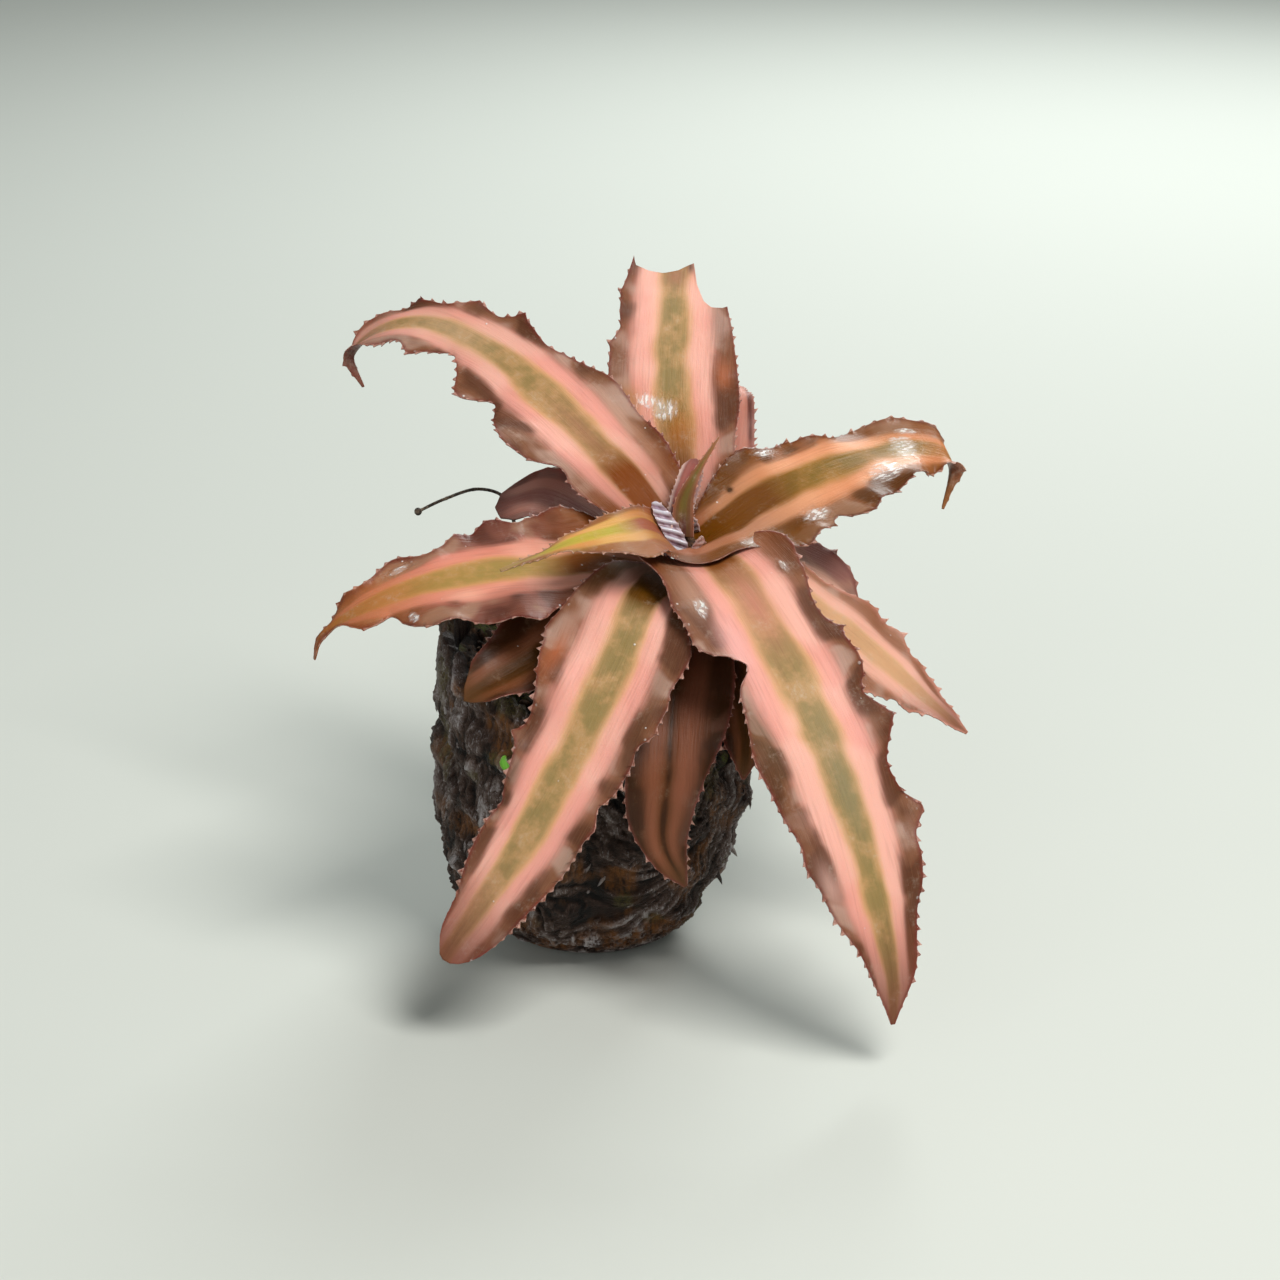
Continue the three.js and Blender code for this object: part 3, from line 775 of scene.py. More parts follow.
    def _painted_glints(self, at: BladeTraits, colour: Colour) -> Socket:
        """Lays on painted highlights in one near-white colour: glints of water drops, as specks and
        beads, ragged gleams on glossy patches, and ripple crests, which are partly silvery scurf.

        Args:
            at: what the finish reads.
            colour: the colour so far.

        Returns:
            The colour.
        """
        mix = at.paint.mix
        ragged = at.gleam + (at.broad - 0.5) * 0.9 + (at.streaks - 0.5) * 0.7
        shine = ragged.rise(0.3, 0.75) * at.gleam.rise(0.04, 0.2) * (0.24 + at.dashes * 0.66)
        colour = mix((at.specks * 0.7 + at.beads * 0.6).kept(), colour, self.painted_glint)
        colour = mix(shine.kept(), colour, self.painted_glint)
        # Ripple crests: partly silvery scurf, partly painted highlight
        return mix(at.crest.rise(-0.5, 0.6), colour, self.painted_glint)

    def _edged(self, at: BladeTraits, colour: Colour) -> Socket:
        """Lays a dark line along the margin, pale spots on it, which are partly painted glints, and the
        teeth's own pale tips.

        Args:
            at: what the finish reads.
            colour: the colour so far.

        Returns:
            The colour.
        """
        mix = at.paint.mix
        line = at.from_edge.fall(0.1, 1.0) * (0.45 + 0.55 * at.blotches.rise(0.35, 0.65))
        # Pale spots along the very edge, partly painted glints
        spots = at.from_edge.fall(-0.05, 0.16) * at.dust.rise(0.36, 0.6) * 0.5
        colour = mix(line * 0.75, colour, self.rim)
        return mix((spots + at.from_edge.fall(-0.75, -0.3) * 0.4).kept(), colour, self.TOOTH)

    def _lower(self, at: BladeTraits) -> Socket:
        """Colours the lower face: scurf over a plain colour, streaked, and the tip's colour.

        Args:
            at: what the finish reads.

        Returns:
            The colour.
        """
        mix = at.paint.mix
        scaled = mix(at.dust.rise(0.35, 0.7) * 0.4, self.underside, self.scurf)
        streaked = at.paint.ramp(at.streaks, [(0.3, "ffffff"), (0.75, "9a8a82")])
        return mix((at.tip * 0.8).kept(), mix(1.0, scaled, streaked, "MULTIPLY"), self.tip)


@dataclass(frozen=True)
class CrustFinish:
    """Finish of a rough dark crust, coloured by how far each spot stands out of it."""

    name: str
    slot: Slot
    pit: str
    body: str
    crest: str
    # Pale top of the relief: partly grey dust and scratches, partly painted glints
    dust: str
    stain: str
    moss: str
    roughness: float = 0.78
    grain_mm: float = 0.5

    @cache
    def material(self) -> bpy.types.Material:
        """Builds the node material once.

        The attribute `crust` holds the height of the relief from 0 to 1, the share of stain and the
        share of moss. Pits are near black, partly the crust's own dark and partly painted shade in its
        hollows, crests pale, partly its own grey and partly painted glints, and noise at Object
        coordinates breaks both.

        Returns:
            The material.
        """
        paint = Paint(self.name)
        height, stain, moss = paint.parts(paint.attribute("crust"))
        place = paint.place()
        x, y, z = paint.parts(place)
        fibres = paint.cloud(paint.vector(x * 3.0, y * 3.0, z * 0.6), 260.0, 4.0, 0.65)
        grit = paint.cloud(place, 1.0 / (self.grain_mm * METRE_PER_MM), 4.0, 0.7)
        patches = paint.cloud(place, 90.0, 3.0)
        scratches = paint.cloud(paint.vector(x * 4.0, y * 4.0, z), 460.0, 3.0, 0.7).rise(0.57, 0.64)
        # Painted glints: small pale spots on the grit
        glints = paint.cells(place, 520.0)[0].fall(0.12, 0.22) * grit.rise(0.5, 0.6)
        level = height + (fibres - 0.5) * 0.36 + (grit - 0.5) * 0.7
        # Colour by height: the near-black pits are partly painted shade in the hollows
        colour = paint.ramp(level, [
            (0.16, self.pit),
            (0.42, self.body),
            (0.72, self.crest),
            (0.96, self.dust),
        ])
        colour = paint.mix(patches.rise(0.5, 0.62) * 0.4, colour, self.body)
        # Scratches and painted glints in the pale colour, on the higher parts
        colour = paint.mix((scratches * 0.6 + glints * 0.7).kept() * height.rise(0.3, 0.7), colour, self.dust)
        colour = paint.mix((stain * fibres.rise(0.3, 0.7)).kept(), colour, self.stain)
        colour = paint.mix((moss * grit.rise(0.35, 0.65)).kept(), colour, self.moss)
        relief = fibres + grit * 0.8
        return paint.finish({
            "Base Color": colour,
            "Roughness": (self.roughness + (grit - 0.5) * 0.5 - (patches.rise(0.5, 0.7) * 0.18)).kept(),
            "Normal": paint.bump(relief, 1.0, 0.9),
            "Specular IOR Level": 0.35,
        })


STRIPED = BladeFinish(
    name="striped_leaf", middle="968050", glow="e0aa78", band="f0a698", margin="82563e", rim="70302a",
    base="7c3c00", tip="74402e", underside="85524c", flush="54301e", bloom="fac2b0",
)
# A darker base: the leaf's own ochre with painted shadow from the leaves above it
FRONT = replace(STRIPED, name="front_leaf", base="5e3a04")
PALE = replace(
    STRIPED, name="pale_leaf", slot=Slot.SHADED_LEAF, middle="d6a67c", glow="e6b48c", band="f0b29c",
    margin="9c6a50", rim="c98a78", base="c07c5c", flush="946048",
)
ORANGE = replace(
    STRIPED, name="orange_leaf", middle="80621e", glow="b47c38", band="e09468", margin="7e4c28",
    rim="5c2b20", base="6c3c00", tip="96602c", underside="8c5a44", flush="54300e", bloom="f0b088",
    pale="a8846c", glow_at=0.3, band_ends=0.58, margin_starts=0.76, roughness=0.36, coat=0.08,
)
ROSY = replace(
    ORANGE, name="rosy_leaf", middle="a08546", glow="d09860", band="df8c78", margin="7c4a3c",
    rim="642a22", base="80440c", tip="a8622c", flush="502a20", bloom="eeae98", band_starts=0.38,
    band_ends=0.62,
)
YOUNG = replace(
    STRIPED, name="young_leaf", slot=Slot.YOUNG_LEAF, middle="b5a63c", glow="c8a444", band="d2904e",
    margin="946a30", rim="7c5040", base="9c5438", tip="a8905c", underside="96785a", flush="94582c",
    bloom="dcae60", pale="b08a50", roughness=0.44,
)
SPEAR = replace(
    YOUNG, name="spear_leaf", middle="74602e", glow="7a602c", band="785230", margin="6e4230",
    rim="a0644a", base="70443a", tip="84703a", flush="6e4432", bloom="84683a", pale="9a7250",
)
CLASPING = replace(
    STRIPED, name="clasping_leaf", slot=Slot.YOUNG_LEAF, middle="744038", glow="84504a", band="8a544e",
    margin="6c403c", rim="d0a6a0", base="6c3a36", tip="8a5650", underside="6c4040", flush="86505a",
    bloom="925c54", painted_glint="f2eef0", pale="a87c84", roughness=0.34, coat=0.12,
)
HEART = replace(
    CLASPING, name="heart_leaf", middle="a05c54", glow="a8605a", band="b06c62", margin="7c4a44",
    rim="ecd0c8", flush="844840",
)
ROSY_SHEATH = replace(
    CLASPING, name="rosy_sheath", middle="a06048", glow="b06c50", band="b8705c", margin="8a4a44",
    base="8a4038", tip="96704a", flush="96564c", bloom="b0684c", rim="b98078", coat=0.1,
)
# The near-white on this scale's ripple crests is partly silvery scurf, partly painted highlight
SILVER = replace(
    CLASPING, name="silver_scale", middle="a58c9c", glow="93788a", band="84606c", margin="6c4a52",
    rim="c9b4bc", base="5c3c44", tip="8c7080", flush="8a6a7c", bloom="a48c98", pale="c8bcc8",
    painted_glint="d6d4e0", roughness=0.16, coat=0.7,
)
# Darker colours for the low leaves: painted shade, where the leaves above shut out the light
SHADED = replace(
    STRIPED, name="shaded_leaf", slot=Slot.SHADED_LEAF, middle="4a2c0e", glow="643a18", band="744428",
    margin="422410", rim="6e3a32", base="341a04", tip="5e3e22", underside="4a3026", flush="3c2010",
    bloom="86503a", pale="6a4636", scurf="a08870",
)
# Darker still, for the low front leaf: painted shade
FOLDED_SHADED = replace(
    SHADED, name="folded_shaded_leaf", middle="3c200c", glow="60381e", band="845038", margin="402614",
    middle_ends=0.03, glow_at=0.1, band_starts=0.28, band_ends=0.5, margin_starts=0.84,
)
DARK = replace(
    STRIPED, name="dark_leaf", slot=Slot.DARK_LEAF, middle="946056", glow="a06c60", band="a87264",
    margin="70463c", rim="7a4440", base="46261e", tip="5c3832", underside="54362f", flush="60382e",
    bloom="b88476", pale="8a6a60", scurf="b09a8c", roughness=0.46,
)
# Much paler than DARK: painted light, so that this leaf, which lies in shade under its neighbours, shows as
# if lit
LIGHTENED_DARK = replace(
    DARK, name="lightened_dark_leaf", middle="e6b8a4", glow="e6b898", band="e8b4a0", margin="b08070",
    flush="a4706a", base="b8887c", tip="c08c70",
)
PINK = replace(
    DARK, name="pink_leaf", middle="c2806f", glow="c98676", band="cb8a78", margin="8a564e", rim="d9a296",
)
SPROUT = replace(
    STRIPED, name="green_leaf", slot=Slot.SPROUT, middle="7cc83c", glow="8ad24a", band="86d044",
    margin="6ab832", rim="74c23c", base="5aa028", tip="8cd250", underside="6cb03a", flush="6ab83a",
    bloom="8ede50", pale="7ccc44", scurf="9cd870",
)
BARK = CrustFinish(
    name="rough_bark", slot=Slot.BARK, pit="080402", body="361e10", crest="6c5a52", dust="c4bec0",
    stain="7c4c1c", moss="66622a", roughness=0.55,
)
SOIL = CrustFinish(
    name="growing_mix", slot=Slot.MIX, pit="0e0a08", body="2d211a", crest="57463a", dust="7c6a5a",
    stain="5b3d22", moss="5a6426", roughness=0.9, grain_mm=0.7,
)
WOODY = CrustFinish(
    name="woody_stem", slot=Slot.STEM, pit="2a1a12", body="64452f", crest="93704e", dust="b49674",
    stain="7a3f26", moss="5c5a2c", roughness=0.7, grain_mm=0.4,
)
WIRY = CrustFinish(
    name="wiry_stalk", slot=Slot.STALK, pit="2c241d", body="4a3c31", crest="746454", dust="94836f",
    stain="5d4a34", moss="55512f", roughness=0.5, grain_mm=0.3,
)


# Leaves


@dataclass(frozen=True)
class Rosette:
    """The stem's axis, from which every leaf is placed. Sizes are in millimetres."""

    crown: Triple = (22.0, 1.0, 99.0)
    facing: Triple = (0.12, -0.45, 0.885)
    tip_radius: float = 2.2
    taper: float = 0.1
    seat_gap: float = 0.3

    @property
    def up(self) -> Array:
        """The way that the rosette faces, with length 1."""
        return unit(np.array(self.facing))

    def radius(self, down: float) -> float:
        """The stem's radius at a distance below the crown."""
        return self.tip_radius + self.taper * down

    def seat(self, down: float, first: Array) -> Array:
        """Where a leaf leaves the stem: below the crown, on the side that its rib heads for.

        Args:
            down: how far below.
            first: the first point of its rib.

        Returns:
            The point on the stem.
        """
        core = np.array(self.crown) - down * self.up
        outward = first - core
        outward = unit(outward - self.up * (outward @ self.up))
        return core + outward * (self.radius(down) + self.seat_gap)


ROSETTE = Rosette()
RIGHT = 1.0
LEFT = -1.0


@dataclass(frozen=True)
class Lobe:
    """A local swelling, notch, curl or drag of one margin, by share of length and millimetres."""

    side: float
    at: float
    reach: float
    spread: float = 3.0
    lift: float = 0.0
    cusp: bool = False
    drag: float = 0.0
    power: float = 2.0

    def weight(self, u: Array, s: Array, length: float) -> Array:
        """How much each point takes part: e^-d for a cusp, e^-d² else, times a power of the place across."""
        apart = np.abs(u - self.at) * length / self.spread
        return np.exp(-(apart ** (1.0 if self.cusp else 2.0))) * np.clip(s * self.side, 0, 1) ** self.power


@dataclass(frozen=True)
class Patch:
    """A soft-edged patch on the upper face, by share of length and place across."""

    at: float
    across: float
    long: float
    wide: float

    def cover(self, u: Array, across: Array) -> Array:
        """How far it covers each point: e to the power of minus the squared distance in its own sizes."""
        return np.exp(-(((u - self.at) / self.long) ** 2) - ((across - self.across) / self.wide) ** 2)


@dataclass(frozen=True)
class Stain(Patch):
    """A patch of another colour."""

    colour: str = "b07458"
    share: float = 0.7


@dataclass(frozen=True)
class Leaf:
    """One leaf blade. Distances are millimetres from the crown, widths are half widths base to tip."""

    name: str
    finish: BladeFinish
    rib: tuple[Triple, ...]
    right: tuple[float, ...]
    left: tuple[float, ...]
    down: Optional[float] = None
    upward: Optional[Triple] = None
    channel: tuple[float, ...] = (0.0, 0.0)
    fold: tuple[float, ...] = (0.0, 0.0)
    roll: tuple[float, ...] = (0.0, 0.0)
    wave: Triple = (0.0, 20.0, 0.0)
    ripple: Triple = (0.0, 2.0, 0.0)
    ends: tuple[tuple[float, float], ...] = ((-1.0, 1.0), (1.0, 1.0))
    centre: tuple[float, ...] = (0.0, 0.0)
    squeeze: float = 1.0
    pitch: float = 2.7
    tooth: float = 0.78
    lobes: tuple[Lobe, ...] = ()
    # Glossy patches, on which a near-white highlight is also painted
    gleams: tuple[Patch, ...] = ()
    stains: tuple[Stain, ...] = ()
    base_ends: float = 0.3
    base_strength: float = 1.0
    tip_starts: float = 0.86

    # Thickness at the rib and at the margin, and how it thins out towards base and tip
    RIB_THICKNESS = 0.9
    MARGIN_THICKNESS = 0.28
    END_SHARE = 0.35
    THICKENING = 12.0

    # Columns across the blade, crowded towards the margins by this power
    COLUMNS = 33
    CROWDING = 1.35

    # Teeth: the right margin's start a few steps later; shape and lean of the spine in each pitch
    STEPS_PER_TOOTH = 8
    RIGHT_SHIFT = 3
    TOOTH_STARTS = 0.9
    SPINE_HALF_WIDTH = 0.27
    SPINE_POWER = 1.4
    SPINE_LEAN = 0.8

    # How much later the right margin's waves come, and the wave height that gives the full frill
    RIGHT_WAVE_LAG = 1.4
    FRILLED_WAVE = 0.8

    def curve(self) -> RibCurve:
        """The rib from the stem to the tip.

        Returns:
            The curve.
        """
        points = np.array(self.rib) + np.array(ROSETTE.crown)
        if self.down is not None:
            points = np.vstack([ROSETTE.seat(self.down, points[0]), points])
        return RibCurve(points)

    def stations(self, curve: RibCurve) -> int:
        """Number of steps along the blade: eight for each tooth."""
        return self.STEPS_PER_TOOTH * max(3, round(curve.length / self.pitch))

    def surface(self, curve: RibCurve, u: Array, s: Array, teeth: Array, curls: Array) -> dict[str, Array]:
        """Works out the blade's upper face.

        A point lies beside the rib at x = s times the half width, plus lobes and teeth, slides along
        it where a lobe drags it, and is raised along the normal as `_raised` says. An uneven frill is
        added at the very margin, and each tooth leans towards the tip.

        Args:
            curve: the rib.
            u: share of the length, one for each point.
            s: place across, from -1 at the left margin to 1 at the right.
            teeth: how far each point's margin stands out by its tooth.
            curls: how far the tooth turns up, for each millimetre that it stands out.

        Returns:
            Points, normals, places across in millimetres and as the stripes see them, half widths,
            the teeth and the ripples.
        """
        tangent, sideways, normal = self._directions(curve, u)
        half = np.where(s > 0, along(self.right, u), along(self.left, u))
        even = np.where(s > 0, self._even(self.right, u), self._even(self.left, u))
        outer = smooth(self.TOOTH_STARTS, 1.0, np.abs(s)) * teeth
        x, lift, slide = s * half, np.zeros_like(u), np.zeros_like(u)
        for lobe in self.lobes:
            here = lobe.weight(u, s, curve.length)
            x = x + lobe.side * lobe.reach * here
            lift = lift + lobe.lift * here
            slide = slide + lobe.drag * here
        lift, crest = self._raised(lift, curve, u, s, x, tangent)
        points = curve.at(u) + sideways * x[..., None] + normal * lift[..., None] + tangent * slide[..., None]

        uneven = noise(points, 5.0, Seed.FRILL) * 0.6 + noise(points, 2.2, Seed.FINE_FRILL) * 0.16
        frilled = grown(u, 0.03, 0.2, 0.85) * min(1.0, self.wave[0] / self.FRILLED_WAVE)
        points = points + normal * (uneven * np.abs(s) ** 4 * frilled + outer * curls)[..., None]
        leaning = tangent * (self.SPINE_LEAN * outer)[..., None]
        points = points + sideways * (np.sign(s) * outer)[..., None] + leaning
        band = (x / np.maximum(even, 0.3) - along(self.centre, u)) * self.squeeze
        return {
            "points": points, "normal": normal, "x": x, "band": band, "half": half, "outer": outer,
            "crest": crest,
        }

    def _directions(self, curve: RibCurve, u: Array) -> tuple[Array, Array, Array]:
        """Unit directions at shares of the rib's length, the last two turned round it by the roll.

        Args:
            curve: the rib.
            u: share of the length, one for each point.

        Returns:
            The ways along the rib, to its right and out of the upper face.
        """
        tangent = curve.tangent(u)
        course = curve.samples[-1] - curve.samples[0]
        upward = ROSETTE.up if self.upward is None else unit(np.array(self.upward))
        level = unit(np.cross(course, upward))
        level = unit(level - tangent * (tangent @ level)[..., None])
        up = np.cross(level, tangent)
        roll = np.radians(along(self.roll, u))[..., None]
        return tangent, level * np.cos(roll) + up * np.sin(roll), up * np.cos(roll) - level * np.sin(roll)

    def _raised(
        self, lift: Array, curve: RibCurve, u: Array, s: Array, x: Array,
        tangent: Array,
    ) -> tuple[Array, Array]:
        """Raises the upper face above the rib.

        The lift is the sum of the wrap round the stem, rise · x² / (2 · radius + |x|), the channel,
        c · x² / 100, the fold, tan(angle) · |x|, and the waves, height · |s|³ · sin(2π · length /
        wave), which are calm at base and tip. Some small leaves have ripples across them too, a sine
        of the length, slanted by x.

        Args:
            lift: what the lobes raise already.
            curve: the rib.
            u: share of the length.
            s: place across, from -1 to 1.
            x: place across in millimetres.
            tangent: the way along the rib.

        Returns:
            The lift in millimetres, and the height on a ripple from -1 to 1, or -1 where none is.
        """
        stem = ROSETTE.radius(self.down or 0.0) + u * curve.length
        rise = np.clip(tangent @ ROSETTE.up, 0, 1)
        lift = lift + rise * x**2 / (2 * stem + np.abs(x))
        lift = lift + along(self.channel, u) * x**2 / 100.0
        lift = lift + np.tan(np.radians(along(self.fold, u))) * np.abs(x)
        height, wave_length, phase = self.wave
        lag = np.where(s > 0, self.RIGHT_WAVE_LAG, 0.0)
        turn = 2 * np.pi * u * curve.length / wave_length + phase + lag
        lift = lift + height * np.abs(s) ** 3 * np.sin(turn) * grown(u, 0.12, 0.4, 0.85)
        height, apart, slant = self.ripple
        crest = np.sin(2 * np.pi * (u * curve.length + slant * x) / apart)
        return lift + height * crest, np.where(height > 0, crest, -1.0)

    @staticmethod
    def _even(widths: Sequence[float], u: Array) -> Array:
        """Smooths the lobes out of a half width: three neighbours averaged, twice over.

        Args:
            widths: half widths from base to tip.
            u: share of the length.

        Returns:
            The even half width at each share.
        """
        run = np.asarray(widths, float)
        for _ in range(2):
            padded = np.concatenate([[run[0]], run, [run[-1]]])
            run = (padded[:-2] + padded[1:-1] + padded[2:]) / 3.0
        return along(tuple(run), u)

    def build(self, seed: int) -> Piece:
        """Makes the blade: an upper and a lower face joined by a thin edge all round.

        Args:
            seed: picks the random lengths of this leaf's teeth.

        Returns:
            The finished piece.
        """
        curve = self.curve()
        steps = self.stations(curve)
        t = np.linspace(-1, 1, self.COLUMNS)
        s = np.sign(t) * (1 - (1 - np.abs(t)) ** self.CROWDING)
        line = np.arange(steps + 1) / steps
        ends = np.interp(s, *np.array(self.ends).T)
        u = line[:, None] * ends[None, :]
        s = np.broadcast_to(s, u.shape)
        beside = (s[0] > 0).astype(int)
        teeth, curls = self._teeth(steps, np.random.default_rng(seed), line)
        found = self.surface(curve, u, s, teeth[:, beside], curls[:, beside])
        full = np.minimum(1.0, self.END_SHARE + self.THICKENING * np.minimum(line, 1 - line))[:, None]
        swell = (self.RIB_THICKNESS - self.MARGIN_THICKNESS) * (1 - s**2) * full
        thickness = self.MARGIN_THICKNESS + swell
        upper = found["points"]
        points, faces = thin_skin(upper, upper - found["normal"] * thickness[..., None])
        return piece_from(f"{self.name}_blade", points, faces, self._values(curve, u, s, found))

    def _teeth(self, steps: int, rng: np.random.Generator, line: Array) -> tuple[Array, Array]:
        """Lays one pointed spine into each pitch of both margins, off its middle and of random length.

        Args:
            steps: number of steps along the blade.
            rng: source of the random numbers.
            line: share of the length at each station.

        Returns:
            How far each station's margin stands out, left and right, and how far that turns up.
        """
        number = steps // self.STEPS_PER_TOOTH + 2
        long = grown(line, 0.02, 0.16, 0.9)
        teeth, curls = [], []
        for shift in (0, self.RIGHT_SHIFT):
            step = np.arange(steps + 1) + shift
            which = step // self.STEPS_PER_TOOTH
            phase = (step % self.STEPS_PER_TOOTH) / self.STEPS_PER_TOOTH
            middle = rng.uniform(0.36, 0.64, number)[which]
            spine = np.clip(1 - np.abs(phase - middle) / self.SPINE_HALF_WIDTH, 0, 1) ** self.SPINE_POWER
            teeth.append(self.tooth * rng.uniform(0.3, 1.4, number)[which] * spine * long)
            curls.append(rng.uniform(-0.3, 0.9, number)[which])
        return np.stack(teeth, -1), np.stack(curls, -1)

    def _values(self, curve: RibCurve, u: Array, s: Array, found: dict[str, Array]) -> dict[str, Array]:
        """Works out the attributes that BladeTraits reads, and the stains' own colour.

        Where stains overlap, their colours are averaged by their cover, and the largest share holds.

        Args:
            curve: the rib.
            u: share of the length.
            s: place across, from -1 to 1.
            found: what `surface` gives.

        Returns:
            The attributes by name, for the upper face and then the lower one.
        """
        from_edge = (1 - np.abs(s)) * found["half"] - found["outer"]
        base = (1 - smooth(self.base_ends * 0.3, self.base_ends, u)) * self.base_strength
        tip = smooth(self.tip_starts, 1.0, u)
        gleam = np.zeros_like(u)
        for patch in self.gleams:
            gleam = np.maximum(gleam, patch.cover(u, found["band"]))
        most = np.zeros_like(u)
        colour = np.zeros(u.shape + (3,))
        total = np.full_like(u, 1e-6)
        for stain in self.stains:
            cover = stain.cover(u, found["band"])
            most = np.maximum(most, cover * stain.share)
            colour = colour + cover[..., None] * linear(stain.colour)[:3]
            total = total + cover
        both = {
            "blade": np.stack([found["band"], u, from_edge], -1),
            "tone": np.stack([base, tip, gleam], -1),
            "stain": colour / total[..., None],
            "extra": np.stack([most, found["crest"], 0 * most], -1),
        }
        values = {key: np.concatenate([upper.reshape(-1, 3)] * 2) for key, upper in both.items()}
        place = (found["x"] / MM_PER_CM, u * curve.length / MM_PER_CM)
        grain = [np.stack([*place, np.full_like(u, side)], -1).reshape(-1, 3) for side in (1, -1)]
        values["grain"] = np.concatenate(grain)
        return values


# A shallow channel and low waves, as most of the smaller leaves have them
PLAIN = {"channel": (0, 0.4, 0.4), "wave": (0.8, 17, 0)}


def rear_leaf(side: str, down: float, phase: float, rib: tuple[Triple, ...]) -> Leaf:
    """One of the broad lowest leaves that hang down behind, alike on both sides of its rib.

    Args:
        side: which of them.
        down: how far below the crown it leaves the stem.
        phase: where its waves start.
        rib: points of the rib.

    Returns:
        The leaf.
    """
    widths = (4, 8, 11, 12, 12, 11, 9, 5, 0.4)
    return Leaf(
        f"leaf_rear_{side}", SHADED, rib, widths, widths, down, channel=(0, 0.4, 0.4), wave=(1.2, 19, phase),
    )


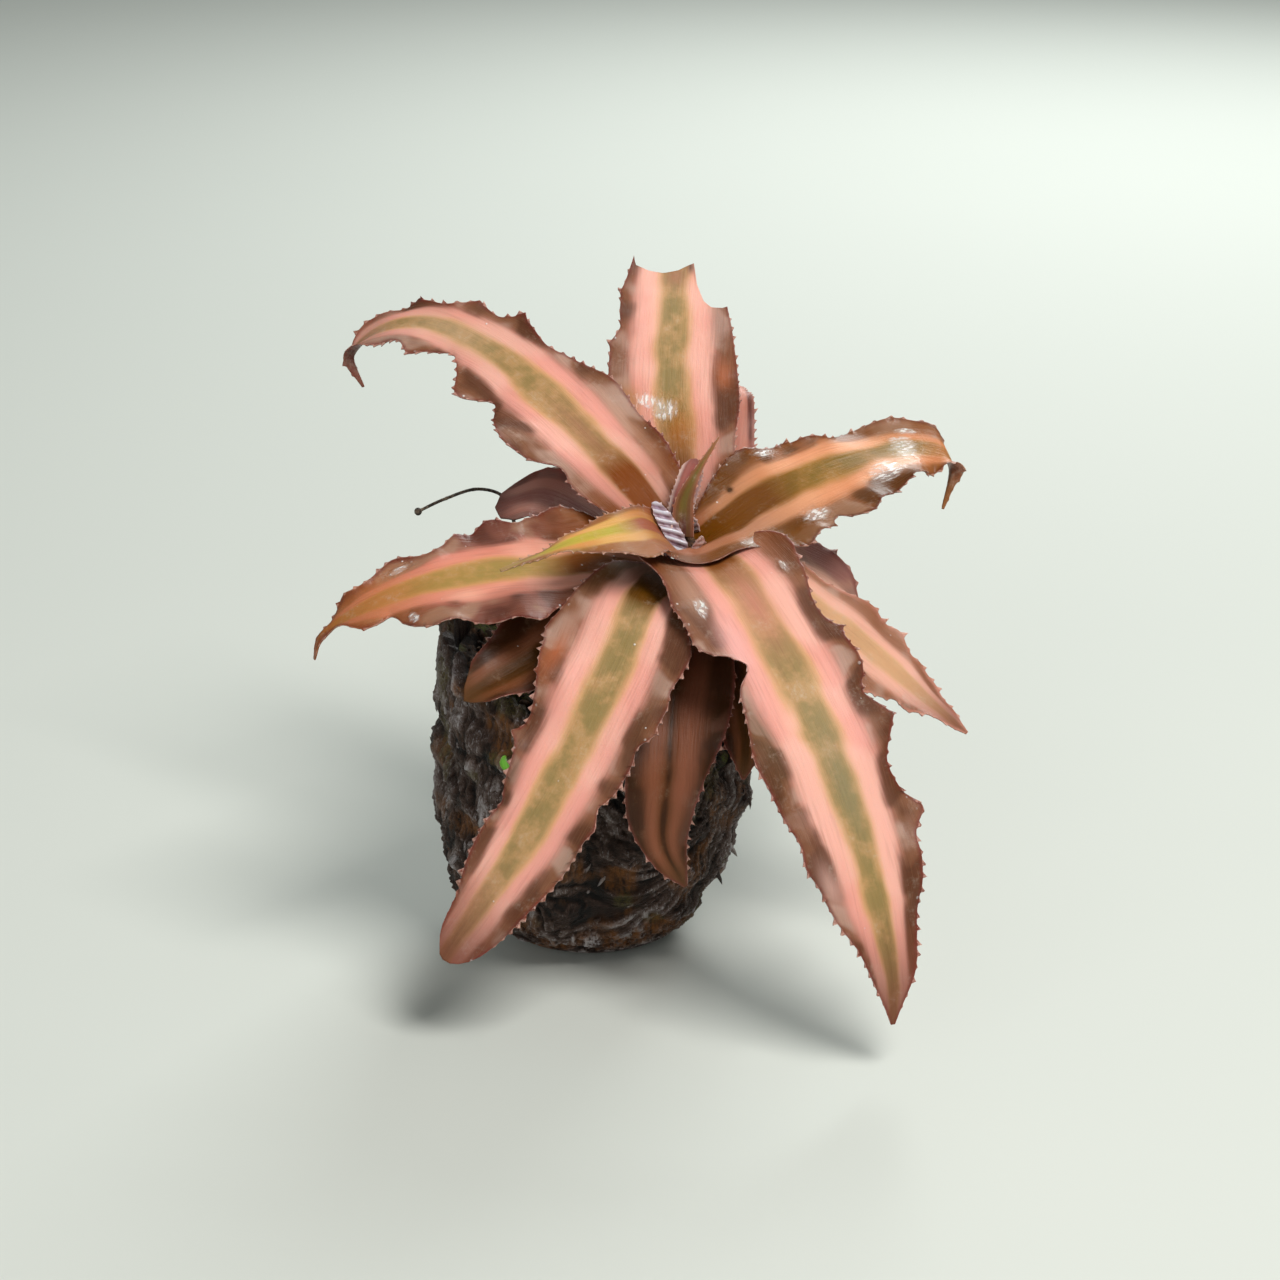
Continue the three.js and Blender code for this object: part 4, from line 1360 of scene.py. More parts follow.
LEAVES: tuple[Leaf, ...] = (
    Leaf(
        "leaf_upper_left", STRIPED, down=5,
        rib=((-11, 10, 8), (-23, 22, 17), (-35, 34, 25), (-49, 47, 32), (-64, 56, 35), (-76, 61, 31),
             (-82, 61, 25), (-79, 58, 18)),
        right=(5, 12, 14.5, 14, 10.5, 8.6, 5.4, 3, 0.3), left=(5, 13, 15, 16, 13, 9, 6.6, 3, 0.3),
        channel=(0, 0.5, 0.5, 0.3), fold=(0, 0, 0, 0, 0, 0, 4, 14, 24), roll=(0, 0, 0, 6, 16, 26, 30, 24, 10),
        wave=(1.3, 22, 0.5), centre=(-0.04, -0.02, 0.02, 0.02), squeeze=1.02, tip_starts=0.9,
        base_strength=1.6,
        stains=(
            Stain(0.3, 0, 0.1, 0.22, "b0745c", 0.6), Stain(0.68, 0, 0.1, 0.5, "cfae8c", 0.5),
            Stain(0.88, 0, 0.06, 1.2, "a87c68", 0.75), Stain(0.2, 0.85, 0.16, 0.16, "c99a80", 0.6),
            Stain(0.42, -0.85, 0.04, 0.2, "6c4230", 0.7),
        ),
        lobes=(
            Lobe(RIGHT, 0.5, -1.4, 4), Lobe(RIGHT, 0.575, 3, 2.4, cusp=True), Lobe(RIGHT, 0.615, -0.8, 2.5),
            Lobe(RIGHT, 0.66, 2, 2, cusp=True), Lobe(RIGHT, 0.71, -1.4, 3.4),
            Lobe(RIGHT, 0.77, 1.8, 2, cusp=True), Lobe(RIGHT, 0.85, 0.8, 4), Lobe(LEFT, 0.24, -2.4, 4),
            Lobe(LEFT, 0.36, 2.4, 6), Lobe(LEFT, 0.475, -3.6, 4), Lobe(LEFT, 0.55, 3.6, 5),
            Lobe(LEFT, 0.65, -3, 4.5), Lobe(LEFT, 0.745, 3, 3.4), Lobe(LEFT, 0.87, 1.8, 5),
        ),
    ),
    Leaf(
        "leaf_back_bitten", STRIPED, down=8,
        rib=((-1, 15, -2), (-3, 25, 9), (-4, 38, 23), (-3, 49, 36), (-2, 60, 49)),
        right=(5, 11, 14, 14.5, 16.2, 15.8, 14, 12.2, 11.5), left=(4, 5, 6, 7, 13, 15, 13.8, 13, 11),
        channel=(0, 0, 0.4), roll=(0, 8, 8, 0), wave=(0.9, 20, 1), base_ends=0.5, tip_starts=0.995,
        base_strength=1.5, tooth=0.55,
        ends=((-1, 1), (-0.91, 0.97), (-0.6, 0.957), (-0.3, 0.955), (0, 0.97), (0.2, 0.99), (0.33, 1),
              (0.4, 0.925), (0.54, 0.872), (0.68, 0.853), (0.9, 0.854), (1, 0.862)),
        centre=(0.0, -0.02, -0.03, -0.07),
        lobes=(
            Lobe(LEFT, 0.705, 1.2, 1.6, cusp=True), Lobe(LEFT, 0.76, -0.8, 2.5),
            Lobe(LEFT, 0.88, 0.9, 1.6, cusp=True),
        ),
        gleams=(Patch(0.5, -0.12, 0.045, 0.3), Patch(0.53, -0.45, 0.026, 0.2)),
        stains=(
            Stain(0.42, 0.12, 0.09, 0.3, "aa6410", 0.9), Stain(0.53, -0.75, 0.05, 0.24, "c07c34", 0.7),
            Stain(0.62, 0.85, 0.05, 0.14, "b4643c", 0.8), Stain(0.95, 0.02, 0.04, 0.22, "a86e54", 0.8),
            Stain(0.985, 0.32, 0.025, 0.1, "4e302a", 1), Stain(0.98, -0.95, 0.05, 0.16, "5c3a30", 0.9),
            Stain(0.8, 0.85, 0.06, 0.16, "b08e82", 0.7),
        ),
    ),
    Leaf(
        "leaf_right", ORANGE, down=4,
        rib=((9, 6, 2), (24, 18, 7), (41, 29, 10), (54, 34.5, 10.5), (61.5, 35.3, 8.8), (63.6, 35.2, 5.4),
             (63, 33.6, 1.5), (61, 30.6, -3.9)),
        right=(9, 13.5, 16, 18, 17, 15.6, 9.5, 2.7, 0.3), left=(5, 10, 13.5, 11.5, 10, 9.5, 8.4, 2.5, 0.3),
        channel=(0, 0.8, 0.8, 0.5, 0), roll=(0, 0, 0, 4, 10, 14, 6, -8, -6), wave=(1.5, 19, 0),
        base_ends=0.42, base_strength=1.6, centre=(-0.06, -0.04, -0.02, 0.0), squeeze=0.98,
        lobes=(
            Lobe(RIGHT, 0, 0, 7, lift=8.5, drag=-8.5, power=1), Lobe(RIGHT, 0, 0, 2.5, lift=7, power=1),
            Lobe(RIGHT, 0.06, 1.8, 2.5), Lobe(RIGHT, 0.085, -1.8, 2.2), Lobe(RIGHT, 0.2, 2.6, 4, lift=-1),
            Lobe(RIGHT, 0.355, -3, 2.4), Lobe(RIGHT, 0.44, 2.6, 4, lift=-1.5),
            Lobe(LEFT, 0.41, 1.4, 2.5, cusp=True), Lobe(LEFT, 0.53, -1.4, 3), Lobe(LEFT, 0.63, 1.6, 4),
            Lobe(LEFT, 0.8, 2.4, 3), Lobe(RIGHT, 0.81, 1.2, 2.4),
        ),
        gleams=(
            Patch(0.71, -0.05, 0.045, 0.6), Patch(0.73, -0.75, 0.03, 0.16), Patch(0.6, 0.6, 0.06, 0.24),
            Patch(0.31, 0.76, 0.05, 0.14), Patch(0.13, 0.76, 0.035, 0.12), Patch(0.34, -0.9, 0.03, 0.1),
        ),
        stains=(
            Stain(0.12, 0.42, 0.1, 0.2, "e0a284", 0.8), Stain(0.2, -0.15, 0.16, 0.16, "6c4400", 0.6),
            Stain(0.7, 0, 0.05, 0.5, "b39a70", 0.6), Stain(0.82, 0, 0.07, 1.2, "b0682c", 0.7),
            Stain(0.14, 0.9, 0.06, 0.2, "8a6a2c", 0.6), Stain(0.02, 0.2, 0.06, 0.9, "b4645c", 0.7),
            Stain(0.179, -0.6, 0.01, 0.08, "0c0604", 1.6),
        ),
    ),
    Leaf(
        "leaf_lower_right", STRIPED, down=6.8,
        rib=((6.4, -9.4, -2.8), (12, -16.8, -6), (24, -37, -21), (34, -52, -40), (40, -62, -58),
             (44, -68, -79), (44, -69, -88)),
        right=(11, 15, 17, 14.5, 17.5, 16, 12.5, 7, 0.5), left=(9, 16, 13, 15, 15, 12, 11, 6.5, 0.5),
        channel=(0, 0.4, 0.4, 0.3), wave=(1.5, 24, 2), base_ends=0.2, tip_starts=0.76,
        centre=(-0.1, 0.0, 0.03, 0.03, 0.03),
        stains=(
            Stain(0.2, 0, 0.1, 0.3, "cc8672", 0.85), Stain(0.14, 0.86, 0.06, 0.2, "cfa28a", 0.8),
            Stain(0.74, 0.9, 0.04, 0.18, "dcb0a4", 0.7), Stain(0.1, -0.85, 0.07, 0.18, "b07a60", 0.6),
            Stain(0.45, 0.86, 0.1, 0.18, "5a4426", 0.6), Stain(0.58, -0.02, 0.1, 0.2, "8c8464", 0.6),
            Stain(0.28, 0.62, 0.08, 0.22, "f2b4ae", 0.75),
        ),
        lobes=(
            Lobe(RIGHT, 0.02, 1, 6, lift=3, power=1), Lobe(RIGHT, 0.075, 3.4, 2.4), Lobe(RIGHT, 0.15, 2.4, 9),
            Lobe(RIGHT, 0.26, 1.2, 4), Lobe(RIGHT, 0.33, -5.2, 3.4), Lobe(RIGHT, 0.5, 1.6, 6),
            Lobe(RIGHT, 0.7, 1.9, 4), Lobe(LEFT, 0.12, 1.8, 4), Lobe(LEFT, 0.305, 3, 2, cusp=True),
            Lobe(LEFT, 0.43, -2, 3), Lobe(LEFT, 0.49, 2.4, 2.2, cusp=True), Lobe(LEFT, 0.56, -3, 5),
            Lobe(LEFT, 0.648, 4.6, 3.4),
        ),
        gleams=(Patch(0.16, -0.87, 0.015, 0.06), Patch(0.18, 0.84, 0.03, 0.12)),
    ),
    Leaf(
        "leaf_lower_left", FRONT, down=10,
        rib=((-10, -19, -8), (-17, -32, -20), (-26, -43, -35), (-36, -51, -51), (-47, -55, -67),
             (-55, -57, -78.4)),
        right=(5, 11, 16, 17, 13, 11, 9.6, 6.6, 3.2), left=(5, 9, 12.5, 14.5, 13, 12, 11, 9, 4.6),
        ends=((-1, 0.95), (-0.9, 0.972), (-0.7, 0.987), (-0.4, 0.997), (0, 1), (0.4, 0.995), (0.7, 0.98),
              (0.9, 0.965), (1, 0.945)),
        # base_strength 3 spreads the dark base over the bands: painted shadow cast by the leaves above
        channel=(0, 0.4, 0.4, 0.3), wave=(1.3, 23, 0), base_ends=0.26, tip_starts=0.8, base_strength=3,
        centre=(0.1, 0.05, 0.03, 0.05, 0.08), squeeze=1.02,
        stains=(
            Stain(0.36, 0.92, 0.07, 0.14, "b06440", 0.8), Stain(0.42, -0.9, 0.1, 0.14, "6c4a34", 0.6),
            Stain(0.62, 0.9, 0.05, 0.18, "5c3824", 0.7), Stain(0.88, 0.4, 0.08, 0.8, "c08068", 0.5),
        ),
        lobes=(
            Lobe(RIGHT, 0.31, 1.4, 4), Lobe(RIGHT, 0.42, -1, 6, lift=3.2),
            Lobe(RIGHT, 0.545, 3, 2, cusp=True), Lobe(RIGHT, 0.68, -1, 3), Lobe(LEFT, 0.16, -3, 6),
            Lobe(LEFT, 0.28, 1.6, 4), Lobe(LEFT, 0.35, -1, 2.5), Lobe(LEFT, 0.44, 1.2, 2, cusp=True),
            Lobe(LEFT, 0.475, -1, 2), Lobe(LEFT, 0.6, -1.4, 2.4), Lobe(LEFT, 0.64, 1.2, 2, cusp=True),
        ),
    ),
    Leaf(
        "leaf_left", ROSY, down=12,
        rib=((-21, -7, -4), (-31, -11, -3), (-43, -15, -2), (-57, -19, -3), (-70, -21, -7), (-80, -21, -13),
             (-83.4, -20.6, -16.4), (-84.9, -20, -21.8)),
        right=(5, 11, 15, 13, 10, 6.5, 5, 2.2, 0.4), left=(4, 6, 7.5, 12.5, 15, 11.5, 7, 1.6, 0.4),
        channel=(0, 0.4, 0.4), wave=(1.5, 20, 1.5), centre=(0.0, 0.0, -0.02), tip_starts=0.6,
        base_ends=0.42, base_strength=2, tooth=0.5,
        stains=(
            Stain(0.56, -0.55, 0.05, 0.14, "f0b49c", 0.7), Stain(0.76, 0, 0.1, 1.2, "c8804c", 0.6),
            Stain(0.93, 0, 0.06, 2, "7c4a24", 0.8),
        ),
        lobes=(
            Lobe(RIGHT, 0.27, 3, 6), Lobe(RIGHT, 0.4, -0.8, 2.5), Lobe(RIGHT, 0.46, 4, 4),
            Lobe(RIGHT, 0.54, 2.5, 3), Lobe(RIGHT, 0.7, 4.6, 5), Lobe(RIGHT, 0.85, 2.6, 3.4),
            Lobe(LEFT, 0.41, 4.5, 4), Lobe(LEFT, 0.66, 3, 6), Lobe(LEFT, 0.746, -2.4, 2.2),
            Lobe(LEFT, 0.82, 2.6, 3.4),
        ),
        gleams=(Patch(0.7, 1.02, 0.036, 0.2), Patch(0.695, -1.0, 0.016, 0.22)),
    ),
    Leaf(
        "young_leaf", YOUNG, down=3,
        rib=((-9, -6, 5), (-16, -14, 7), (-26, -21, 7), (-34, -25, 5), (-42, -29, 3)),
        right=(5, 6.8, 5.5, 5.2, 4.2, 2.5, 1.2, 0.6, 0.4), left=(8, 8.5, 8.6, 8.8, 6.8, 4.2, 1.5, 0.7, 0.4),
        channel=(0.8, 0.8, 0.5), wave=(0.4, 12, 0), pitch=2.0, tooth=0.6, base_ends=0.5, tip_starts=0.6,
        centre=(0.1, 0.1), base_strength=1.4,
        lobes=(Lobe(LEFT, 0.42, 1.8, 5), Lobe(LEFT, 0.12, 1.6, 8, lift=-3)),
        stains=(Stain(0.16, -0.5, 0.14, 0.5, "b07838", 0.8), Stain(0.1, 0.7, 0.1, 0.3, "9c6a40", 0.7)),
    ),
    Leaf(
        "leaf_front_low", FOLDED_SHADED, down=21,
        rib=((-2, -16, -21.5), (-4, -27, -31), (-5, -37, -43), (-6, -40, -58), (-1, -40, -69)),
        right=(3.5, 7, 10, 12, 11, 10.5, 9, 5.5, 0.4), left=(3.5, 8, 11, 13, 12.5, 10.5, 7.5, 5, 0.4),
        fold=(0, 10, 12, 10), wave=(0.8, 18, 0), squeeze=1.1,
        lobes=(Lobe(LEFT, 0.68, -1.8, 9), Lobe(RIGHT, 0.87, -1.2, 5)),
    ),
    Leaf(
        "leaf_left_low", SHADED, down=17,
        rib=((-18, -10, -14), (-29, -19, -18), (-40, -27, -22), (-47.4, -31, -24.8), (-50.6, -32.2, -26.8)),
        right=(3.5, 7, 10, 10, 9.5, 9, 8.5, 7, 4), left=(3.5, 5.5, 7.5, 9.5, 9.5, 9, 7.5, 5.5, 3),
        ends=((-1, 0.93), (-0.5, 0.98), (0, 1), (0.5, 0.97), (1, 0.9)),
        fold=(0, 10, 10), wave=(0.8, 17, 0), lobes=(Lobe(RIGHT, 0.65, 3.6, 7),),
    ),
    Leaf(
        "leaf_right_low", PALE, down=14,
        rib=((20, 0, -11), (33, -1, -19), (46, -4, -29), (56, -9, -37), (64, -13, -43)),
        right=(4, 8, 11, 12, 13, 12, 10, 4.5, 0.4), left=(4, 7, 8, 8, 8.5, 7, 5.5, 3, 0.4),
        channel=(0, 0.4, 0.4), wave=(1.1, 17, 0), tip_starts=0.7,
        lobes=(
            Lobe(RIGHT, 0.64, 3, 4), Lobe(RIGHT, 0.775, -3, 2.6), Lobe(LEFT, 0.57, 1.6, 4),
            Lobe(LEFT, 0.65, 3, 3), Lobe(LEFT, 0.715, -1, 2), Lobe(LEFT, 0.83, 1.4, 3),
        ),
    ),
    Leaf(
        "leaf_right_under", LIGHTENED_DARK, down=17,
        rib=((16, 7, -12), (28, 13, -16), (37, 14, -23), (43, 11, -32)),
        right=(4, 7, 9, 10, 10, 8, 6, 3, 0.4), left=(3.5, 5, 7, 8, 9, 8.5, 7, 4, 0.4),
        **PLAIN, lobes=(Lobe(LEFT, 0.62, 5, 8),),
    ),
    Leaf(
        "leaf_left_dark", DARK, down=14.5,
        rib=((-14, 10, -6), (-25, 17, 0), (-35, 21, 3), (-45.5, 21, 0)),
        right=(4, 7, 8, 8, 8, 8, 8.4, 8.2, 7.4), left=(4, 7, 8, 8, 8, 8, 8.5, 8.5, 8),
        **PLAIN,
        ends=((-1, 0.86), (-0.9, 0.92), (-0.6, 0.98), (0, 1), (0.6, 0.96), (0.9, 0.88), (1, 0.8)),
    ),
    Leaf(
        "leaf_back_sliver", PINK, down=19,
        rib=((5, 13, -12), (9, 24, -3), (11, 36, 10), (12, 47, 19), (12, 57, 19), (12, 65, 12)),
        right=(3, 4.5, 5, 5, 5, 4.5, 3.5, 2, 0.4), left=(3, 4.5, 5, 5, 5, 4.5, 3.5, 2, 0.4),
        **PLAIN, pitch=2.2,
    ),
    Leaf(
        "leaf_front_strip", SHADED, down=22.5,
        rib=((9, -14, -25), (12, -22, -32), (12.5, -27, -41), (12, -29, -47.5)),
        right=(3.5, 5, 5.5, 6, 6.5, 6.5, 6, 4, 0.4), left=(4, 6, 7, 7.5, 7.5, 7, 6, 4, 0.4),
        **PLAIN,
    ),
    rear_leaf(
        "left", 20.5, 0, ((-10, 14, -13), (-20, 28, -16), (-26, 40, -24), (-29, 50, -36), (-30, 56, -48)),
    ),
    rear_leaf("middle", 25, 2, ((-2, 16, -18), (-3, 31, -22), (-3, 44, -32), (-2, 53, -46), (-2, 58, -58))),
    rear_leaf("right", 21.5, 1, ((9, 13, -17), (18, 26, -20), (24, 38, -26), (27, 47, -38), (28, 52, -50))),
    Leaf(
        "spear_leaf", SPEAR, upward=(0.2, -1.0, 0.3),
        rib=((-1.6, 0.6, 0), (-1.4, 2.2, 7.6), (0.3, 3, 12.2), (2.3, 4.1, 15.7), (6.7, 6.8, 22)),
        right=(2.4, 2.4, 2.3, 1.9, 1.4, 0.95, 0.65, 0.45, 0.2),
        left=(2.4, 2.5, 2.4, 2, 1.5, 1, 0.7, 0.45, 0.2),
        fold=(14, 24, 24), pitch=1.6, tooth=0.4, tip_starts=0.4,
    ),
    Leaf(
        "heart_leaf", HEART, down=1,
        rib=((-1.6, 3.4, 2.4), (-1.2, 5.8, 7.4), (0.2, 8, 11.8), (2, 10.2, 15.6)),
        right=(2, 2.2, 2.4, 2.6, 2.8, 2.8, 2.6, 2.4, 2), left=(3, 3.2, 3.3, 3.2, 3, 2.8, 2.8, 2.6, 2.2),
        ends=((-1, 0.86), (-0.7, 0.96), (-0.2, 1), (0.3, 0.98), (0.7, 0.95), (1, 0.86)),
        channel=(2, 3, 3), pitch=1.4, tooth=0.4, base_ends=0.8,
    ),
    Leaf(
        "crown_scale", SILVER, upward=(0.1, -1.0, 0.6),
        rib=((-1.8, -3.2, -2.4), (-4, -2, 2.1), (-6.1, -0.7, 5.3), (-8.2, 1.4, 8.2)),
        right=(1.8, 2, 2, 1.9, 1.6, 0.6), left=(1.8, 1.9, 1.9, 1.8, 1.5, 0.6),
        channel=(2, 3, 3), ripple=(0.34, 2.5, 0.95), pitch=1.5, tooth=0.25, tip_starts=0.98,
    ),
    Leaf(
        "green_sprout", SPROUT, upward=(-0.4, -1.0, 0.3),
        rib=((-41.2, -31.4, -44.4), (-41.6, -32.6, -42.2), (-41.8, -33.9, -39.8)),
        right=(0.5, 1.1, 1.2, 0.9, 0.4), left=(0.5, 1.1, 1.2, 0.9, 0.4), pitch=1.2, tooth=0.1,
    ),
)

SCENE_ONLY = ("crown_scale",)


@dataclass(frozen=True)
class Sheath:
    """The broad base of an inner leaf, clasping the crown: part of a flared cone round the stem's axis."""

    name: str
    bearing: float
    reach: float
    foot: float
    lip: float
    radius: float
    flare: float
    wrinkle: float = 0.12
    finish: BladeFinish = CLASPING

    THICKNESS = 0.45
    ROWS = 60
    COLUMNS = 97
    TEETH = 14
    TOOTH = 0.5
    WRINKLES_APART = 1.9

    def build(self) -> Piece:
        """Makes the sheath: radius r + flare · t^1.5 from foot to lip, the lip lower at its sides.

        Its sides stand off a little. Cross wrinkles, a sine of the height bent by noise, run over
        it, and small teeth stand on the lip.

        Returns:
            The finished piece.
        """
        up = ROSETTE.up
        ahead = unit(np.cross(up, np.cross([1.0, 0.0, 0.0], up)))
        beside = np.cross(up, ahead)
        t = np.linspace(0, 1, self.ROWS)[:, None]
        s = np.linspace(-1, 1, self.COLUMNS)[None, :]
        turn = np.radians(self.bearing + self.reach * s * (1 - 0.3 * t**2))
        teeth = self.TOOTH * np.clip(np.abs((s * self.TEETH) % 1.0 - 0.5) * 4 - 1, 0, 1) * smooth(0.9, 1.0, t)
        height = self.foot + (self.lip - self.foot) * t * (1 - 0.35 * s**2) + teeth
        outward = ahead * np.cos(turn)[..., None] + beside * np.sin(turn)[..., None]
        radius = self.radius + self.flare * t**1.5 + 0.6 * smooth(0.6, 1.0, np.abs(s))
        place = np.array(ROSETTE.crown) + outward * radius[..., None] + up * height[..., None]
        bent = height / self.WRINKLES_APART + 0.8 * s + noise(place, 3.0, Seed.SHEATH_WRINKLES)
        radius = radius + self.wrinkle * np.sin(2 * np.pi * bent)
        radius = radius + 0.3 * noise(place, 4.0, Seed.SHEATH_SWELLS)
        place = np.array(ROSETTE.crown) + outward * radius[..., None] + up * height[..., None]
        points, faces = thin_skin(place, place - outward * self.THICKNESS)
        t, s = np.broadcast_arrays(t, s)
        wide = self.radius * np.radians(self.reach)
        from_edge = np.minimum((1 - np.abs(s)) * wide, (1 - t) * (self.lip - self.foot))
        # A patch of painted highlight on each sheath
        gleam = hump(s, -0.3, 0.4) * hump(t, 0.5, 0.4)
        blade = np.stack([np.abs(s), t, from_edge], -1).reshape(-1, 3)
        grain = np.stack([s * wide / MM_PER_CM, height / MM_PER_CM, np.ones_like(t)], -1).reshape(-1, 3)
        tone = np.stack([1 - t, 0 * t, gleam], -1).reshape(-1, 3)
        one_face = {"blade": blade, "grain": grain, "tone": tone}
        values = {key: np.concatenate([rows, rows]) for key, rows in one_face.items()}
        return piece_from(f"{self.name}_clasp", points, faces, values)


SHEATHS: tuple[Sheath, ...] = (
    Sheath(
        "sheath_front", bearing=-48, reach=62, foot=-8, lip=2.8, radius=3.9, flare=-0.5, finish=ROSY_SHEATH,
    ),
    Sheath("sheath_left", bearing=170, reach=42, foot=-5, lip=3, radius=5.2, flare=-0.6),
    Sheath("sheath_back", bearing=105, reach=48, foot=-5, lip=3, radius=5.6, flare=-0.6),
)


# Bark pot, growing mix, stem and stalk


@dataclass(frozen=True)
class BarkPot:
    """Round-bottomed cup of rough bark, its torn rim higher on the left and at the back."""

    radius: float = 37.0
    depth_scale: float = 0.9
    foot: float = 12.5
    curve_height: float = 47.0
    curve_lean: float = 17.0
    shift_right: float = 0.8
    wall: float = 4.5
    floor: float = 9.0
    rim_middle: float = 63.0
    rim_drop_right: float = 17.0
    rim_rise_back: float = 3.0
    rim_waves: tuple[Triple, ...] = ((1.3, 5, 0.6), (1.1, 11, 0), (0.8, 19, 2))
    rim_peaks: tuple[Triple, ...] = ((-44, 11, 8), (-18, 9, 6), (150, 10, 3), (215, 12, -4))
    # Of each long splinter: bearing, height, length and how steeply it points up or down
    spurs: tuple[tuple[float, float, float, float], ...] = (
        (-13, 25, 3.6, -2.6), (-22, 20, 3.4, -2.6), (-4, 38, 3, 1), (178, 46, 3, 2), (120, 52, 3.5, 2),
        (70, 30, 3.5, -2), (205, 26, 3, -1),
    )
    crust_depth: float = 2.3
    crust_sunk: float = 1.1
    rim_worn: float = 1.6
    splinter_height: float = 2.4
    sides: int = 500
    outer_rows: int = 166
    inner_rows: int = 24

    def rim(self, angle: Array) -> Array:
        """Height of the rim: a tilted ring, waves, and a few peaks of given bearing and spread.

        Args:
            angle: bearings in radians.

        Returns:
            The heights.
        """
        ragged = sum(size * np.sin(count * angle + start) for size, count, start in self.rim_waves)
        height = self.rim_middle - self.rim_drop_right * np.cos(angle) + self.rim_rise_back * np.sin(angle)
        for bearing, spread, peak in self.rim_peaks:
            turn = (1 - np.cos(angle - np.radians(bearing))) / (1 - np.cos(np.radians(spread)))
            height = height + peak * np.exp(-turn)
        return height + ragged

    def form(self, angle: Array, z: Array) -> Array:
        """Radius of the smooth form: a small foot, a round bottom and a nearly upright wall.

        The bottom is a quarter of an ellipse, which ends where the pot is widest.

        Args:
            angle: bearings in radians.
            z: heights in millimetres.

        Returns:
            The radii, before the pot is drawn in from front to back.
        """
        full = self.curve_height + self.curve_lean * np.cos(angle)
        curl = 1 - np.minimum(z / full, 1)
        widest = self.radius + self.shift_right * np.cos(angle)
        return self.foot + (widest - self.foot) * np.sqrt(1 - curl**2)

    def relief(self, angle: Array, z: Array) -> Array:
        """Long uneven ribs and shallow scales of the bark, sums of sines, none at the foot.

        Args:
            angle: bearings in radians.
            z: heights in millimetres.

        Returns:
            How far the skin stands out.
        """
        ribs = 0.9 * np.sin(6 * angle + 0.05 * z) + 0.7 * np.sin(13 * angle - 0.08 * z + 2)
        scales = 0.6 * np.sin(0.42 * z + 3 * np.sin(2 * angle)) + 0.5 * np.sin(9 * angle + 0.6 * z)
        return (ribs + scales) * smooth(2, 16, z)

    def point(self, angle: Array, radius: Array, z: Array) -> Array:
        """Point at a bearing, radius and height, drawn in from front to back."""
        return np.stack([radius * np.cos(angle), self.depth_scale * radius * np.sin(angle), z], -1)

    def grain(self, points: Array, angle: Array) -> Array:
        """Coordinates in which the bark's fibres run upright.

        They do so on the left. On the right they slant down towards the middle of the front, so there
        each point is turned round the pot by its height times the slant over the radius.

        Args:
            points: points of the bark.
            angle: their bearings.

        Returns:
            The coordinates.
        """
        turn = self.slant(angle) * points[..., 2] / self.radius
        x = points[..., 0] * np.cos(turn) - points[..., 1] * np.sin(turn)
        y = points[..., 0] * np.sin(turn) + points[..., 1] * np.cos(turn)
        return np.stack([x, y, points[..., 2]], -1)

    def slant(self, angle: Array) -> Array:
        """How far the fibres go round the pot for each millimetre of height, at a bearing."""
        return 1.5 * np.sin(angle) * smooth(-0.4, 0.6, np.cos(angle))

    def build(self) -> Piece:
        """Makes the cup: foot, outside, torn rim, inside and floor as one closed skin.

        The outside is the smooth form plus the bark's ribs, then flaking plates (noise cut to
        steps), fibres drawn out along the grain and fine grit. The rim is broken by splinters.

        Returns:
            The finished piece.
        """
        turn = bearings(self.sides)[None, :]
        torn = self._torn(turn)
        share = np.linspace(0, 1, self.outer_rows)[:, None] ** 1.4
        height = torn * share
        angle = np.broadcast_to(turn, height.shape)
        radius = self.form(angle, height) + self.relief(angle, height)
        plain = self.point(angle, radius, height)
        crust = self._crust(plain, angle)
        calm = smooth(0.5, 6.0, height)
        worn = smooth(0.93, 1.0, share)
        radius = radius + (crust * self.crust_depth - self.crust_sunk) * calm - self.rim_worn * worn
        outside = self.point(angle, radius, height)

        down = np.linspace(1, 0, self.inner_rows)[:, None]
        inner_height = self.floor + (torn - 1.2 - self.floor) * down
        inner_angle = np.broadcast_to(turn, inner_height.shape)
        inner_radius = self.form(inner_angle, inner_height) - self.wall + 0.5 * down
        inside = self.point(inner_angle, inner_radius, inner_height)
        rough = self._crust(inside, inner_angle)
        inside = self.point(inner_angle, inner_radius + 0.7 * rough * down, inner_height)

        points, faces = closed_rings(np.concatenate([outside, inside]), [(0, 0, 0), (0, 0, self.floor)])
        level = np.concatenate([crust.ravel(), rough.ravel() * 0.6, [0.2, 0.2]])
        return piece_from("bark_pot_shell", points, faces, crust_values(level, *self._growth(points)))

    def _torn(self, turn: Array) -> Array:
        """The rim with splinters: narrow ridges of noise round it, of uneven height.

        Args:
            turn: bearings in radians.

        Returns:
            The heights.
        """
        edge = self.point(turn, np.full_like(turn, self.radius), np.zeros_like(turn))
        high = 0.4 + 0.6 * noise(edge, 9.0, Seed.RIM_HEIGHTS)
        return self.rim(turn) + self.splinter_height * ridges(edge, 2.6, Seed.RIM_SPLINTERS) * high - 0.6

